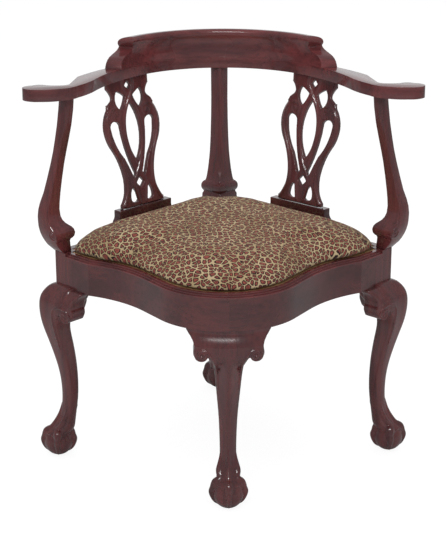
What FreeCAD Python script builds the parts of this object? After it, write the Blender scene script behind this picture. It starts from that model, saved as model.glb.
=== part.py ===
"""Corner chair in mahogany: a square seat set cornerwise, with cabriole legs on claw-and-ball feet.

The seat is a square turned by 45 degrees. Its front corner points to -Y and is cut back to a
serpentine, and the other three corners carry the back. Every sub-part is drawn about the seat
centre, the crossing of the seat's diagonals, with z = 0 on the floor and lengths in millimetres.
At the end all of them move along Y together, so that the origin lies on the floor under the
middle of the chair.
"""
import FreeCAD, Part
import math
import os
from FreeCAD import Placement, Rotation, Vector

doc = FreeCAD.newDocument("corner_chair")

SIZES = [
    # Seat frame
    ("seat_corner", 332.5, "seat centre to the outer corner of a side or back leg"),
    ("rail_bottom", 366, "floor to the lower edge of the rails"),
    ("rail_top", 437, "floor to the top of the rails"),
    ("rail_thick", 34, "thickness of a rail"),
    ("rebate_depth", 16, "depth of the rebate that the slip seat drops into"),
    ("lip_width", 15, "width of the lip outside the rebate"),
    ("moulding_height", 8.5, "height of the bead moulding on the front rails"),
    ("front_reach", 273, "seat centre to the front of the serpentine"),
    ("crease_leg", 68, "side corner to the crease of a front rail, along X and along Y"),
    ("crease_heading", 24, "heading of the hollow where it leaves the crease, degrees from X"),
    ("flank_heading", 56, "steepest heading of the serpentine, degrees from X"),
    ("front_radius", 150, "radius of the rounded front"),
    ("tenon_thick", 10, "thickness of a rail tenon"),
    ("tenon_length", 16, "length of a rail tenon"),
    ("tenon_height", 40, "height of a rail tenon"),
    ("tenon_set", 12, "rail face to the near cheek of its tenon"),
    ("joint_gap", 0.2, "clearance all round in mortises, grooves and dowel holes"),
    # Legs
    ("stile", 50, "side of the square block at the top of a leg"),
    ("ball_radius", 30, "radius of the ball under a foot"),
    ("ball_out", 7, "leg corner to the centre of the ball, outwards along the diagonal"),
    ("ball_sink", 1, "how far the ball is flattened where it stands"),
    ("talon_proud", 3.5, "talon centre line above the ball"),
    # Knee brackets
    ("bracket_reach", 79, "leg corner to the tip of a knee bracket, along the rail"),
    ("bracket_drop", 62, "rail to the foot of the bracket's scroll"),
    ("bracket_proud", 27, "how far a side bracket swells out from its rail"),
    # Arms and crest
    ("arm_bottom", 743, "floor to the underside of the arms"),
    ("arm_thick", 23, "thickness of the arms"),
    ("bow_inner", 212, "inner radius of the bow"),
    ("bow_width", 36, "width of the bow"),
    ("arm_overhang", 82, "centre of a support's head to the end of its arm, sideways"),
    ("grip_width", 44, "width of the rounded grip at the end of an arm"),
    ("cusp_set", 16.5, "centre of a support's head to the cusp on the arm's outer edge, inwards"),
    ("cusp_back", 83, "seat centre to that cusp, backwards"),
    ("crest_height", 57, "height of the crest rail above the arms"),
    ("crest_end", 20, "end of the crest rail above the X axis, degrees round the bow"),
    ("crest_roll", 9, "radius of the roll along the top of the crest rail"),
    ("crest_hollow", 3, "how far the crest rail's face is hollowed under the roll"),
    # Arm supports and back post
    ("support_belly", 22.6, "how far an arm support bows out from the leg's faces"),
    ("support_base", 30, "side of an arm support where it stands on the leg"),
    ("support_top", 20.5, "side of an arm support under the arm"),
    ("support_centre", 23, "leg faces to the centre of an arm support under the arm"),
    ("stub_side", 12, "side of the square stub tenons on the supports and the back post"),
    ("stub_foot", 22, "length of the stub tenons in the legs"),
    ("stub_head", 14, "length of the stub tenons in the arms"),
    ("post_base", 54, "side of the back post at its foot"),
    ("post_top", 25.5, "side of the back post under the bow"),
    ("post_ring", 56.6, "side of the back post at its ring, where it is widest"),
    ("post_lean", 7, "how far the back post's faces lean back at the top"),
    # Splats
    ("splat_thick", 9, "thickness of a splat"),
    ("splat_lean", 0.175, "lean of a splat, outwards for each unit of height"),
    ("splat_set", 6.4, "front of a shoe to the splat's face at the top of the shoe"),
    ("splat_tongue", 8, "depth of a splat's tongues in the shoe and the arm"),
    ("shoe_height", 48, "height of the shoe under a splat"),
    ("shoe_width", 18.5, "width of the shoe"),
    ("shoe_length", 150, "length of the shoe"),
    ("shoe_overlap", 0.5, "how far a shoe reaches over the inner edge of the lip"),
    # Slip seat
    ("seat_gap", 1, "clearance round the slip seat in its rebate"),
    ("seat_rest", 0.3, "clearance under the slip seat"),
    ("frame_thick", 14, "thickness of the slip seat's frame"),
    ("frame_width", 52, "width of the slip seat's frame"),
    ("web_width", 50, "width of a webbing strap"),
    ("web_thick", 1.2, "thickness of a webbing strap"),
    ("web_pitch", 92, "spacing of the straps"),
    ("cushion_crown", 46, "crown of the cushion above its frame"),
    ("cloth_thick", 0.6, "thickness of the dust cloth"),
    # Blocks and screws
    ("block_drop", 12, "rail edge to a glue block"),
    ("block_reach", 34, "leg block to the end of a glue block, along the rail"),
    ("screw_radius", 2.2, "shank radius of the wood screws"),
    ("screw_length", 42, "length of the wood screws"),
]

sheet = doc.addObject("Spreadsheet::Sheet", "Sizes")
for row, (alias, value, note) in enumerate(SIZES, start=1):
    sheet.set(f"A{row}", alias)
    sheet.set(f"B{row}", str(value))
    sheet.set(f"C{row}", note)
    sheet.setAlias(f"B{row}", alias)
doc.recompute()


class Size:
    """The sheet's cells, read by alias."""

    def __getattr__(self, alias):
        return float(sheet.get(alias))


size = Size()
ROOT2 = math.sqrt(2)
UP = Vector(0, 0, 1)
pieces = []

# Heights and reaches that follow from the sheet
ledge = size.rail_top - size.rebate_depth
lip_top = size.rail_top - size.moulding_height
tenon_foot = (size.rail_bottom + ledge - size.tenon_height) / 2
arm_top = size.arm_bottom + size.arm_thick
front_corner = size.front_reach - size.rail_thick
splat_foot = size.rail_top + size.shoe_height
support_head = size.seat_corner - ROOT2 * size.support_centre
arm_reach = support_head + size.arm_overhang
cusp_out = support_head - size.cusp_set
post_head = size.seat_corner - ROOT2 * (size.stile / 2 - size.post_lean)
bow_centre = post_head - size.bow_inner - size.bow_width / 2
shoe_face = size.seat_corner / ROOT2 - size.lip_width - size.shoe_overlap
splat_face = shoe_face + size.splat_set


def flat(x, y, z=0.0):
    return Vector(x, y, z)


def line(start, end):
    return Part.LineSegment(start, end)


def arc(start, middle, end):
    return Part.Arc(start, middle, end)


def arcs(*points):
    """A chain of arcs through an odd number of points, each on three of them."""
    return [arc(*points[first:first + 3]) for first in range(0, len(points) - 2, 2)]


def polygon(points):
    """Straight edges through the points and back to the first."""
    return [line(a, b) for a, b in zip(points, points[1:] + points[:1])]


def faceted(rings):
    """A solid with flat facets through rings of points, each ring with as many points."""
    faces = [Part.Face(Part.makePolygon(ring + ring[:1])) for ring in (rings[0], rings[-1])]
    for low, high in zip(rings, rings[1:]):
        for number in range(len(low)):
            after = (number + 1) % len(low)
            a, b, c, d = low[number], low[after], high[after], high[number]
            twist = abs((b - a).cross(c - a).dot(d - a))
            span = max((b - a).Length, 1e-6) * (c - a).Length * (d - a).Length
            corners = [[a, b, c, d]] if twist < 1e-7 * span else [[a, b, c], [a, c, d]]
            faces += [Part.Face(Part.makePolygon(points + points[:1])) for points in corners]
    return Part.makeSolid(Part.makeShell(faces))


def spin(angle, place=Vector()):
    """A placement turned about the vertical through the origin, then moved."""
    return Placement(place, Rotation(UP, angle))


# The four leg corners: local -X and -Y run along the two rails, and (1, 1) points outwards.
CORNERS = {
    "left": spin(135, flat(-size.seat_corner, 0)),
    "right": spin(-45, flat(size.seat_corner, 0)),
    "back": spin(45, flat(0, size.seat_corner)),
    "front": spin(-135, flat(0, -front_corner)),
}


def finish(label, thing):
    """Name a finished sub-part and keep it for export."""
    thing.Label = label
    pieces.append(thing)
    return thing


def solid_piece(label, shape, place=Placement()):
    """A sub-part whose form is built here from the sheet's sizes."""
    thing = doc.addObject("Part::Feature", label)
    thing.Shape = shape
    thing.Placement = place
    return finish(label, thing)


def board(name, curves, thickness, plane="XY_Plane", offset=0.0, both_ways=False):
    """A board sawn to an outline: a sketch padded by a size of the sheet."""
    body = doc.addObject("PartDesign::Body", name)
    sketch = body.newObject("Sketcher::SketchObject", name + "_outline")
    support = [f for f in body.Origin.OriginFeatures if f.Role == plane][0]
    sketch.AttachmentSupport = (support, [""])
    sketch.MapMode = "FlatFace"
    sketch.AttachmentOffset = Placement(Vector(0, 0, offset), Rotation())
    for curve in curves:
        sketch.addGeometry(curve, False)
    pad = body.newObject("PartDesign::Pad", name + "_pad")
    pad.Profile = sketch
    pad.Midplane = both_ways
    pad.setExpression("Length", thickness)
    body.Tip = pad
    doc.recompute()
    return body


def box(name, length, width, height, place=Placement()):
    """A plain block, each side an expression on the sheet."""
    block = doc.addObject("Part::Box", name)
    for side, expression in (("Length", length), ("Width", width), ("Height", height)):
        block.setExpression(side, expression)
    block.Placement = place
    return block


def rod(name, radius, height, place=Placement()):
    """A round bar, its radius and height expressions on the sheet."""
    bar = doc.addObject("Part::Cylinder", name)
    bar.setExpression("Radius", radius)
    bar.setExpression("Height", height)
    bar.Placement = place
    return bar


def join(name, *parts):
    fused = doc.addObject("Part::MultiFuse", name)
    fused.Shapes = list(parts)
    fused.Refine = True
    doc.recompute()
    return fused


def cut(name, base, *tools):
    tool = tools[0] if len(tools) == 1 else join(name + "_tools", *tools)
    result = doc.addObject("Part::Cut", name)
    result.Base = base
    result.Tool = tool
    doc.recompute()
    return result


def overlap(name, *parts):
    common = doc.addObject("Part::MultiCommon", name)
    common.Shapes = list(parts)
    doc.recompute()
    return common


def mirrored(label, source):
    """The same piece for the other side of the chair, reflected in the plane x = 0."""
    copy = doc.addObject("Part::Mirroring", label)
    copy.Source = source
    copy.Normal = Vector(1, 0, 0)
    doc.recompute()
    return finish(label, copy)


# Serpentine of the left front rail, seen from above

def heading(degrees):
    """Unit vector of a heading that falls away from +X towards the front."""
    return flat(math.cos(math.radians(degrees)), -math.sin(math.radians(degrees)))


def right_of(direction):
    return flat(direction.y, -direction.x)


def serpentine(inset, start=None):
    """Left half of the front outline, set in by inset, from the side leg to the centre line.

    A straight stretch along the diagonal, a crease, a hollow, a flank and the rounded front.
    """
    start = size.stile if start is None else start
    along = heading(45)
    first, last = heading(size.crease_heading), heading(size.flank_heading)
    crease = flat(size.crease_leg - size.seat_corner, -size.crease_leg)
    nose = flat(0, size.front_radius - size.front_reach)
    front_start = nose + right_of(last) * size.front_radius
    # The hollow's radius and the flank's length close the gap from the crease to the front.
    gap = front_start - crease
    turn = right_of(first) - right_of(last)
    across = turn.x * last.y - turn.y * last.x
    hollow_radius = (gap.x * last.y - gap.y * last.x) / across
    hollow = crease + right_of(first) * hollow_radius
    wide = hollow_radius + inset
    # The inset straight stretch meets the inset hollow at the mitre.
    origin = flat(-size.seat_corner, 0) - right_of(along) * inset
    back = origin - hollow
    half = back.dot(along)
    reach = -half - math.sqrt(half * half - back.dot(back) + wide * wide)
    mitre = origin + along * reach
    spoke = (mitre - hollow).normalize()
    middle = (spoke - right_of(last)).normalize()
    hollow_end = hollow - right_of(last) * wide
    round_start = nose + right_of(last) * (size.front_radius - inset)
    tip = nose + flat(0, inset - size.front_radius)
    half_turn = right_of(heading(size.flank_heading / 2)) * (size.front_radius - inset)
    return [
        line(origin + along * start, mitre),
        arc(mitre, hollow + middle * wide, hollow_end),
        line(hollow_end, round_start),
        arc(round_start, nose + half_turn, tip),
    ]


def band(outer, inner, start=None):
    """Closed outline between two insets of the serpentine."""
    near, far = serpentine(outer, start), serpentine(inner, start)
    tip = line(near[-1].EndPoint, far[-1].EndPoint)
    end = line(near[0].StartPoint, far[0].StartPoint)
    return near + far + [tip, end]


# Joints that more than one piece shares, in the frame of a leg corner

def tenon(name, gap=0.0, along_y=False):
    """Tenon of a rail that runs along local -X or -Y, or its mortise where it has a gap."""
    slack = f" + {gap}" if gap else ""
    sides = [f"Sizes.tenon_length{slack}", f"Sizes.tenon_thick{2 * slack}", f"Sizes.tenon_height{2 * slack}"]
    corner = [-size.stile, -size.tenon_set - size.tenon_thick - gap, tenon_foot - gap]
    if along_y:
        sides[0], sides[1] = sides[1], sides[0]
        corner[0], corner[1] = corner[1], corner[0]
    return box(name, *sides, Placement(Vector(*corner), Rotation()))


def placed(thing, place):
    thing.Placement = place.multiply(thing.Placement)
    return thing


def stub(name, centre, bottom, height, gap=0.0):
    """A square stub tenon or its socket, its centre given inwards from both faces of a leg."""
    side = size.stub_side / 2 + gap
    return box(name, f"Sizes.stub_side + {2 * gap}", f"Sizes.stub_side + {2 * gap}", height,
               Placement(Vector(-centre - side, -centre - side, bottom), Rotation()))


# Legs

LEG_SECTIONS = [
    # height, outer edge and inner edge from the leg corner along the diagonal, roundness
    (374, 0, -70, 0.04),
    (363, 18, -69, 0.10),
    (350, 29, -67, 0.14),
    (335, 34.5, -60, 0.18),
    (317, 35.3, -43, 0.22),
    (300, 33.5, -27, 0.26),
    (274, 26.8, -22.8, 0.34),
    (242, 16.4, -29.3, 0.44),
    (205, 5.4, -34.5, 0.60),
    (168, -1.8, -36.8, 0.74),
    (128, -3.6, -36.2, 0.90),
    (90, 1, -30.5, 0.92),
    (76, 7.5, -28, 0.92),
    (62, 17, -22, 0.92),
    (48, 20, -12, 0.92),
]
TALON_STATIONS = [
    # angle above the ball's equator and radius of the talon
    (72, 8.0), (52, 5.8), (38, 7.8), (20, 5.4), (4, 6.6), (-22, 4.4), (-52, 1.8),
]
TALON_SIDES = 5
BALL_SIDES = 16
BALL_RINGS = (-80, -55, -30, -5, 20, 45, 62)


def rounded_square(centre, half_diagonal, roundness, height):
    """Square section with its corners rounded in three short sides, its diagonal as given."""
    half = half_diagonal / (ROOT2 - (ROOT2 - 1) * roundness)
    radius = half * roundness
    hub = half - radius
    middle = Vector(centre / ROOT2, centre / ROOT2, height)
    corners = []
    for quarter in range(4):
        for step in range(4):
            turn = math.radians(90 * quarter + 30 * step)
            side = Rotation(UP, 90 * quarter).multVec(Vector(hub, hub, 0))
            corners.append(middle + side + Vector(math.cos(turn), math.sin(turn), 0) * radius)
    return corners


def talon(angle):
    """One toe over the ball: knuckles and claw, as a faceted taper along an arc."""
    reach = size.ball_radius + size.talon_proud
    centre = Vector(size.ball_out / ROOT2, size.ball_out / ROOT2, size.ball_radius - size.ball_sink)
    outwards = Rotation(UP, 45 + angle).multVec(Vector(1, 0, 0))
    across = Rotation(UP, 135 + angle).multVec(Vector(1, 0, 0))
    rings = []
    for rise, radius in TALON_STATIONS:
        lift = math.radians(rise)
        normal = outwards * math.cos(lift) + UP * math.sin(lift)
        spot = centre + normal * reach
        corners = []
        for side in range(TALON_SIDES):
            turn = math.radians(360 * (side + 0.5) / TALON_SIDES)
            corners.append(spot + normal * (radius * math.cos(turn)) + across * (radius * math.sin(turn)))
        rings.append(corners)
    return faceted(rings)


def ball():
    """The ball under the foot, in rings of flat facets."""
    centre = Vector(size.ball_out / ROOT2, size.ball_out / ROOT2, size.ball_radius - size.ball_sink)
    rings = []
    for rise in BALL_RINGS:
        lift = math.radians(rise)
        ring = []
        for side in range(BALL_SIDES):
            turn = math.radians(45 + 360 * (side + 0.5) / BALL_SIDES)
            flat_way = Vector(math.cos(turn), math.sin(turn), 0) * math.cos(lift)
            ring.append(centre + (flat_way + UP * math.sin(lift)) * size.ball_radius)
        rings.append(ring)
    return faceted(rings)


def leg_blank():
    """Cabriole leg, foot and talons in one, up to the underside of the block."""
    rings = []
    for height, outer, inner, roundness in LEG_SECTIONS:
        rings.append(rounded_square((outer + inner) / 2, (outer - inner) / 2, roundness, height))
    shaft = faceted(rings)
    return shaft.fuse([ball()] + [talon(angle) for angle in (0, 90, 180, 270)])


def make_legs():
    """Three corner legs with mortises and a socket, and the front leg cut level under the rails."""
    floor = Part.makeBox(200, 200, 50, Vector(-100, -100, -50))
    blank = leg_blank().cut(floor)
    block_foot = LEG_SECTIONS[0][0]
    for where, place in CORNERS.items():
        name = where + "_leg"
        front = where == "front"
        foot = size.rail_bottom if front else block_foot
        carved = doc.addObject("Part::Feature", name + "_carved")
        carved.Shape = blank
        block = box(name + "_block", "Sizes.stile", "Sizes.stile", f"Sizes.rail_top - Sizes.rebate_depth - {foot}",
                    Placement(Vector(-size.stile, -size.stile, foot), Rotation()))
        if front:
            over = Part.makeBox(300, 300, 60, Vector(-150, -150, size.rail_bottom))
            carved.Shape = blank.cut(over)
            leg = join(name, carved, block)
        else:
            parts, centre, top = [carved, block], size.stile / 2, ledge
            if where != "back":
                # The rebate stops at these legs, and the arm supports stand on what is left.
                centre, top = size.support_base / 2, size.rail_top
                parts.append(box(name + "_step", "Sizes.support_base", "Sizes.support_base", "Sizes.rebate_depth",
                                 Placement(Vector(-size.support_base, -size.support_base, ledge), Rotation())))
            gap = size.joint_gap
            mortises = [tenon(name + "_mortise_a", gap), tenon(name + "_mortise_b", gap, along_y=True)]
            socket = stub(name + "_socket", centre, top - size.stub_foot - gap, f"Sizes.stub_foot + {2 * gap}", gap)
            leg = cut(name, join(name + "_solid", *parts), *mortises, socket)
        finish(name, placed(leg, place))


# Knee brackets

def bracket_outline(root):
    """Front view of a bracket, x from the leg's corner or middle: ogee, scroll and cusp."""
    tip, drop = size.bracket_reach, size.bracket_drop
    waist, scroll = flat(tip - 15.5, -0.54 * drop), flat(tip - 18, -0.9 * drop)
    low, cusp = flat(tip - 34, 4 - drop), flat(tip - 40, 11 - drop)
    return [
        line(flat(root, 0), flat(tip, 0)),
        line(flat(tip, 0), flat(tip - 1, -5)),
        arc(flat(tip - 1, -5), flat(tip - 11, -0.28 * drop), waist),
        arc(waist, flat(tip - 13, -0.72 * drop), scroll),
        arc(scroll, flat(tip - 26, -drop), low),
        line(low, cusp),
        line(cusp, flat(root, 13 - drop)),
        line(flat(root, 13 - drop), flat(root, 0)),
    ]


def side_bracket():
    """A bracket beside a corner leg, in the leg's local frame, along the rail on local -X."""
    root, tip, proud, drop = 24, size.bracket_reach, size.bracket_proud, size.bracket_drop
    side = board("bracket_side", bracket_outline(root), "Sizes.bracket_proud * 3", "XZ_Plane", both_ways=True)
    side.Placement = Placement(Vector(0, 0, size.rail_bottom), Rotation(UP, 180))
    plan = board(
        "bracket_plan",
        polygon([flat(-root, -22), flat(-tip, -14), flat(-tip, 0.2 * proud), flat(-0.76 * tip, 0.9 * proud),
                 flat(-root, proud + 1)]),
        "Sizes.bracket_drop * 2", offset=size.rail_bottom - 1.5 * drop,
    )
    # The knee's swelling, seen along the rail: it starts near the rail's face and rolls outwards.
    top, shoulder, belly = flat(0.22 * proud, 0), flat(0.8 * proud, -0.26 * drop), flat(0.9 * proud, -1.5 * drop)
    knee = board(
        "bracket_knee",
        [
            line(flat(-30, 0), flat(-30, -1.5 * drop)),
            line(flat(-30, -1.5 * drop), belly),
            arc(belly, flat(proud, -0.8 * drop), shoulder),
            arc(shoulder, flat(0.56 * proud, -0.13 * drop), top),
            line(top, flat(-30, 0)),
        ],
        "Sizes.bracket_reach * 3", "YZ_Plane", both_ways=True,
    )
    knee.Placement = Placement(Vector(0, 0, size.rail_bottom), Rotation())
    return overlap("side_bracket", side, plan, knee)


def front_bracket():
    """The bracket on the right of the front leg, which follows the rounded front."""
    root, tip = 20, size.bracket_reach
    side = board("front_bracket_side", bracket_outline(root), "700", "XZ_Plane", both_ways=True)
    side.Placement = Placement(Vector(0, 0, size.rail_bottom), Rotation())
    nose = size.front_radius - size.front_reach

    def on_front(x, inset):
        radius = size.front_radius - inset
        return flat(x, nose - math.sqrt(radius * radius - x * x))

    middle = (root + tip) / 2
    plan = board(
        "front_bracket_plan",
        [
            arc(on_front(root, 0), on_front(middle, 0), on_front(tip, 0)),
            line(on_front(tip, 0), on_front(tip, 22)),
            arc(on_front(tip, 22), on_front(middle, 28), on_front(root, 34)),
            line(on_front(root, 34), on_front(root, 0)),
        ],
        "120", offset=size.rail_bottom - 100,
    )
    return overlap("front_bracket", side, plan)


def make_brackets():
    """Two brackets for each leg, each cut to fit round its knee."""
    legs = {thing.Label: thing.Shape for thing in pieces}
    master = side_bracket()
    twin = doc.addObject("Part::Mirroring", "side_bracket_twin")
    twin.Source = master
    twin.Normal = Vector(1, -1, 0).normalize()
    doc.recompute()
    hands = {"left": ("front", "back"), "right": ("back", "front"), "back": ("left", "right")}
    for where, (first, second) in hands.items():
        for hand, source in ((first, master), (second, twin)):
            shape = source.Shape.copy()
            shape.Placement = CORNERS[where].multiply(shape.Placement)
            solid_piece(f"{where}_knee_bracket_{hand}", shape.cut(legs[where + "_leg"]))
    right = solid_piece("front_knee_bracket_right", front_bracket().Shape.cut(legs["front_leg"]))
    mirrored("front_knee_bracket_left", right)


# Rails

def make_front_rails():
    lower = board("front_rail_lower", band(0, size.rail_thick), "Sizes.rail_top - Sizes.rebate_depth - Sizes.rail_bottom",
                  offset=size.rail_bottom)
    lip = board("front_rail_lip", band(0, size.lip_width), "Sizes.rebate_depth - Sizes.moulding_height", offset=ledge)
    tongue = placed(tenon("front_rail_tenon"), CORNERS["left"])
    rail = finish("left_front_rail", join("left_front_rail", lower, lip, tongue))
    mirrored("right_front_rail", rail)


def make_back_rails():
    length = f"{ROOT2:.9f} * Sizes.seat_corner - 2 * Sizes.stile"
    run = ROOT2 * size.seat_corner - 2 * size.stile
    lower = box("back_rail_lower", length, "Sizes.rail_thick", "Sizes.rail_top - Sizes.rebate_depth - Sizes.rail_bottom",
                Placement(Vector(-size.stile - run, -size.rail_thick, size.rail_bottom), Rotation()))
    lip = box("back_rail_lip", length, "Sizes.lip_width", "Sizes.rebate_depth",
              Placement(Vector(-size.stile - run, -size.lip_width, ledge), Rotation()))
    near = tenon("back_rail_tenon_near")
    far = box("back_rail_tenon_far", "Sizes.tenon_length", "Sizes.tenon_thick", "Sizes.tenon_height",
              Placement(Vector(-size.stile - run - size.tenon_length, near.Placement.Base.y, near.Placement.Base.z),
                        Rotation()))
    rail = join("left_back_rail", lower, lip, near, far)
    finish("left_back_rail", placed(rail, CORNERS["back"]))
    mirrored("right_back_rail", rail)


def make_mouldings():
    """Three stepped beads along the top of the front rails, one strip for each rail."""
    steps = [(0, 0.28), (3.4, 0.34), (7.2, 0.38)]
    layers, base = [], lip_top
    for number, (inset, share) in enumerate(steps):
        height = share * size.moulding_height
        layers.append(board(f"moulding_step_{number}", band(inset, size.lip_width, size.support_base),
                            f"{share} * Sizes.moulding_height", offset=base))
        base += height
    strip = finish("left_rail_moulding", join("left_rail_moulding", *layers))
    mirrored("right_rail_moulding", strip)


# Arm supports and back post

def squared(name, left, right):
    """A post cut to the same side view on both pairs of faces.

    left and right are the curves of its two sides from bottom to top, x inwards from the leg's faces.
    """
    ends = [line(left[0].StartPoint, right[0].StartPoint), line(left[-1].EndPoint, right[-1].EndPoint)]
    front = board(name + "_front", left + right + ends, "160", "XZ_Plane", both_ways=True)
    side = board(name + "_side", left + right + ends, "160", "YZ_Plane", both_ways=True)
    return overlap(name, front, side)


def make_arm_supports():
    base, centre, belly = size.support_base, size.support_centre, size.support_belly
    half = size.support_top / 2
    foot, head = size.rail_top, size.arm_bottom
    bend = 99
    upper = head - foot - bend

    def at(inwards, rise):
        return flat(-inwards, foot + rise)

    def up(share_in, share_up, edge):
        """A point on the upper sweep, by its shares of the way in and of the way up."""
        return at(edge * share_in, bend + upper * share_up)

    near, far = centre - half, centre + half
    outer = arcs(at(0, 0), at(-0.64 * belly, 22), at(-0.95 * belly, 47), at(-belly, 72), at(-0.82 * belly, bend),
                 at(-0.34 * belly, bend + 0.232 * upper), up(0.18, 0.469, near), up(0.72, 0.705, near),
                 at(near, head - foot))
    inner = [line(at(base, 0), at(base, 31))]
    inner += arcs(at(base, 31), at(base, 39), at(0.8 * base, 47.5), at(0.52 * base, 57), at(0.34 * base, 71),
                  at(0.29 * base, 85), at(0.31 * base, bend), up(0.412, 0.159, far), up(0.619, 0.348, far),
                  up(0.866, 0.614, far), at(far, head - foot))
    shank = squared("support_shank", outer, inner)
    foot_stub = stub("support_foot_stub", base / 2, foot - size.stub_foot, "Sizes.stub_foot + 5")
    head_stub = stub("support_head_stub", centre, head - 5, "Sizes.stub_head + 5")
    support = join("left_arm_support", shank, foot_stub, head_stub)
    finish("left_arm_support", placed(support, CORNERS["left"]))
    mirrored("right_arm_support", support)


def make_back_post():
    middle = size.stile / 2
    foot, head = size.rail_top, size.arm_bottom
    lean, base, top = size.post_lean, size.post_base / 2, size.post_top / 2
    neck = 92
    upper = head - foot - neck

    def side(sign):
        def at(half, rise):
            centre = middle - lean * (rise / (head - foot)) ** 2
            return flat(sign * half - centre, foot + rise)

        def up(swell, share):
            """A point above the neck: the half width over that of the top, and the share of the way up."""
            return at(top + swell, neck + upper * share)

        curves = [line(at(base, 0), at(base, 30))]
        curves += arcs(at(base, 30), at(0.92 * base, 41), at(0.96 * base, 50), at(size.post_ring / 2, 57),
                       at(0.93 * base, 63), at(0.76 * base, 73), up(5, 0), up(1.9, 0.206), up(0.4, 0.505),
                       up(-0.2, 0.762), at(top, head - foot))
        return curves

    shank = squared("post_shank", side(1), side(-1))
    step = box("post_step", "Sizes.stile", "Sizes.stile", "Sizes.rebate_depth",
               Placement(Vector(-size.stile, -size.stile, ledge), Rotation()))
    foot_stub = stub("post_foot_stub", middle, ledge - size.stub_foot, "Sizes.stub_foot + 5")
    head_stub = stub("post_head_stub", middle - lean, head - 5, "Sizes.stub_head + 5")
    post = join("back_post", shank, step, foot_stub, head_stub)
    finish("back_post", placed(post, CORNERS["back"]))


# Arms and crest rail

def bow_point(radius, degrees):
    """A point round the bow, degrees above the X axis on the left side."""
    turn = math.radians(degrees)
    return flat(-radius * math.cos(turn), bow_centre + radius * math.sin(turn))


def arm_outline():
    """Plan of the left arm: half of the bow, the cusp and the rounded grip."""
    inner, outer = size.bow_inner, size.bow_inner + size.bow_width
    grip = size.grip_width

    def out(share, y):
        """A point by its share of the way out from the cusp to the end of the arm."""
        return flat(-(cusp_out + share * (arm_reach - cusp_out)), y)

    cusp = flat(-cusp_out, size.cusp_back)
    shoulder, elbow, grip_front = bow_point(inner, 46), out(-0.38, size.cusp_back - 20), out(0.635, -grip)
    back = [
        line(bow_point(inner, 90), bow_point(outer, 90)),
        arc(bow_point(outer, 90), bow_point(outer, 56), bow_point(outer, 22)),
        arc(bow_point(outer, 22), out(-0.28, size.cusp_back + 50), cusp),
    ]
    inside = [
        arc(bow_point(inner, 90), bow_point(inner, 68), shoulder),
        arc(shoulder, out(-0.757, size.cusp_back + 64), elbow),
    ]
    hollow = arcs(cusp, out(0.056, 45), out(0.107, 12), out(0.157, 3), out(0.249, -1), out(0.391, -2),
                  out(0.553, 1), out(0.695, 6), out(0.817, -1), out(0.985, -0.34 * grip), out(0.949, -0.73 * grip),
                  out(0.858, -0.91 * grip), grip_front)
    palm = arcs(elbow, out(-0.249, 27), out(-0.066, -5), out(0.096, -27), out(0.289, -0.86 * grip),
                out(0.442, -0.98 * grip), grip_front)
    return back + inside + hollow + palm


def splat_place():
    """Frame of the left splat: local x along the rail, local y up the splat, z outwards."""
    middle = flat(-splat_face / ROOT2, splat_face / ROOT2, splat_foot)
    along = Vector(-1, -1, 0).normalize()
    outwards = Vector(-1, 1, 0).normalize()
    rise = (UP + outwards * size.splat_lean).normalize()
    return Placement(middle, Rotation(along, rise, along.cross(rise), "XYZ"))


def make_arms():
    gap = size.joint_gap
    under = size.arm_bottom - 1
    blank = board("arm_blank", arm_outline(), "Sizes.arm_thick", offset=size.arm_bottom)
    deep = f"Sizes.stub_head + {gap} + 1"
    support = placed(stub("arm_socket", size.support_centre, under, deep, gap), CORNERS["left"])
    post = placed(stub("arm_post_socket", size.stile / 2 - size.post_lean, under, deep, gap), CORNERS["back"])
    groove = splat_tongue("arm_groove", gap, top=True)
    bores = [screw_bore(f"arm_bore_{n}", turn) for n, turn in enumerate(CREST_SCREWS)]
    arm = finish("left_arm", cut("left_arm", blank, support, post, groove, *bores))
    mirrored("right_arm", arm)


# Crest screws, degrees round the bow on the left; the right half has its own pair
CREST_SCREWS = (76, 46)


def crest_screw_place(turn):
    middle = bow_point(size.bow_inner + size.bow_width / 2, turn)
    return Placement(flat(middle.x, middle.y, size.arm_bottom), Rotation())


def screw_bore(name, turn):
    return rod(name, "Sizes.screw_radius + Sizes.joint_gap", "Sizes.screw_length + Sizes.joint_gap",
               crest_screw_place(turn))


def crest_section():
    """Section of the crest rail: a hollowed face under a roll, and a rounded back, from the bow's axis."""
    inner, outer = size.bow_inner, size.bow_inner + size.bow_width
    tall, roll, hollow = size.crest_height, size.crest_roll, size.crest_hollow
    hub = flat(inner + roll - 1, tall - roll)
    rolled = [hub + heading(turn) * roll for turn in (145, 180, 215, 240, 262)]
    face = [flat(inner, 0), flat(inner + 0.7 * hollow, 0.2 * tall), flat(inner + hollow, 0.45 * tall)]
    back = [flat(outer - 2 * roll, tall - 0.12 * roll), flat(outer - 0.9 * roll, tall - 0.4 * roll),
            flat(outer - 0.4 * roll, tall - 1.3 * roll), flat(outer, 0)]
    return polygon(face + rolled + back)


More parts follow.
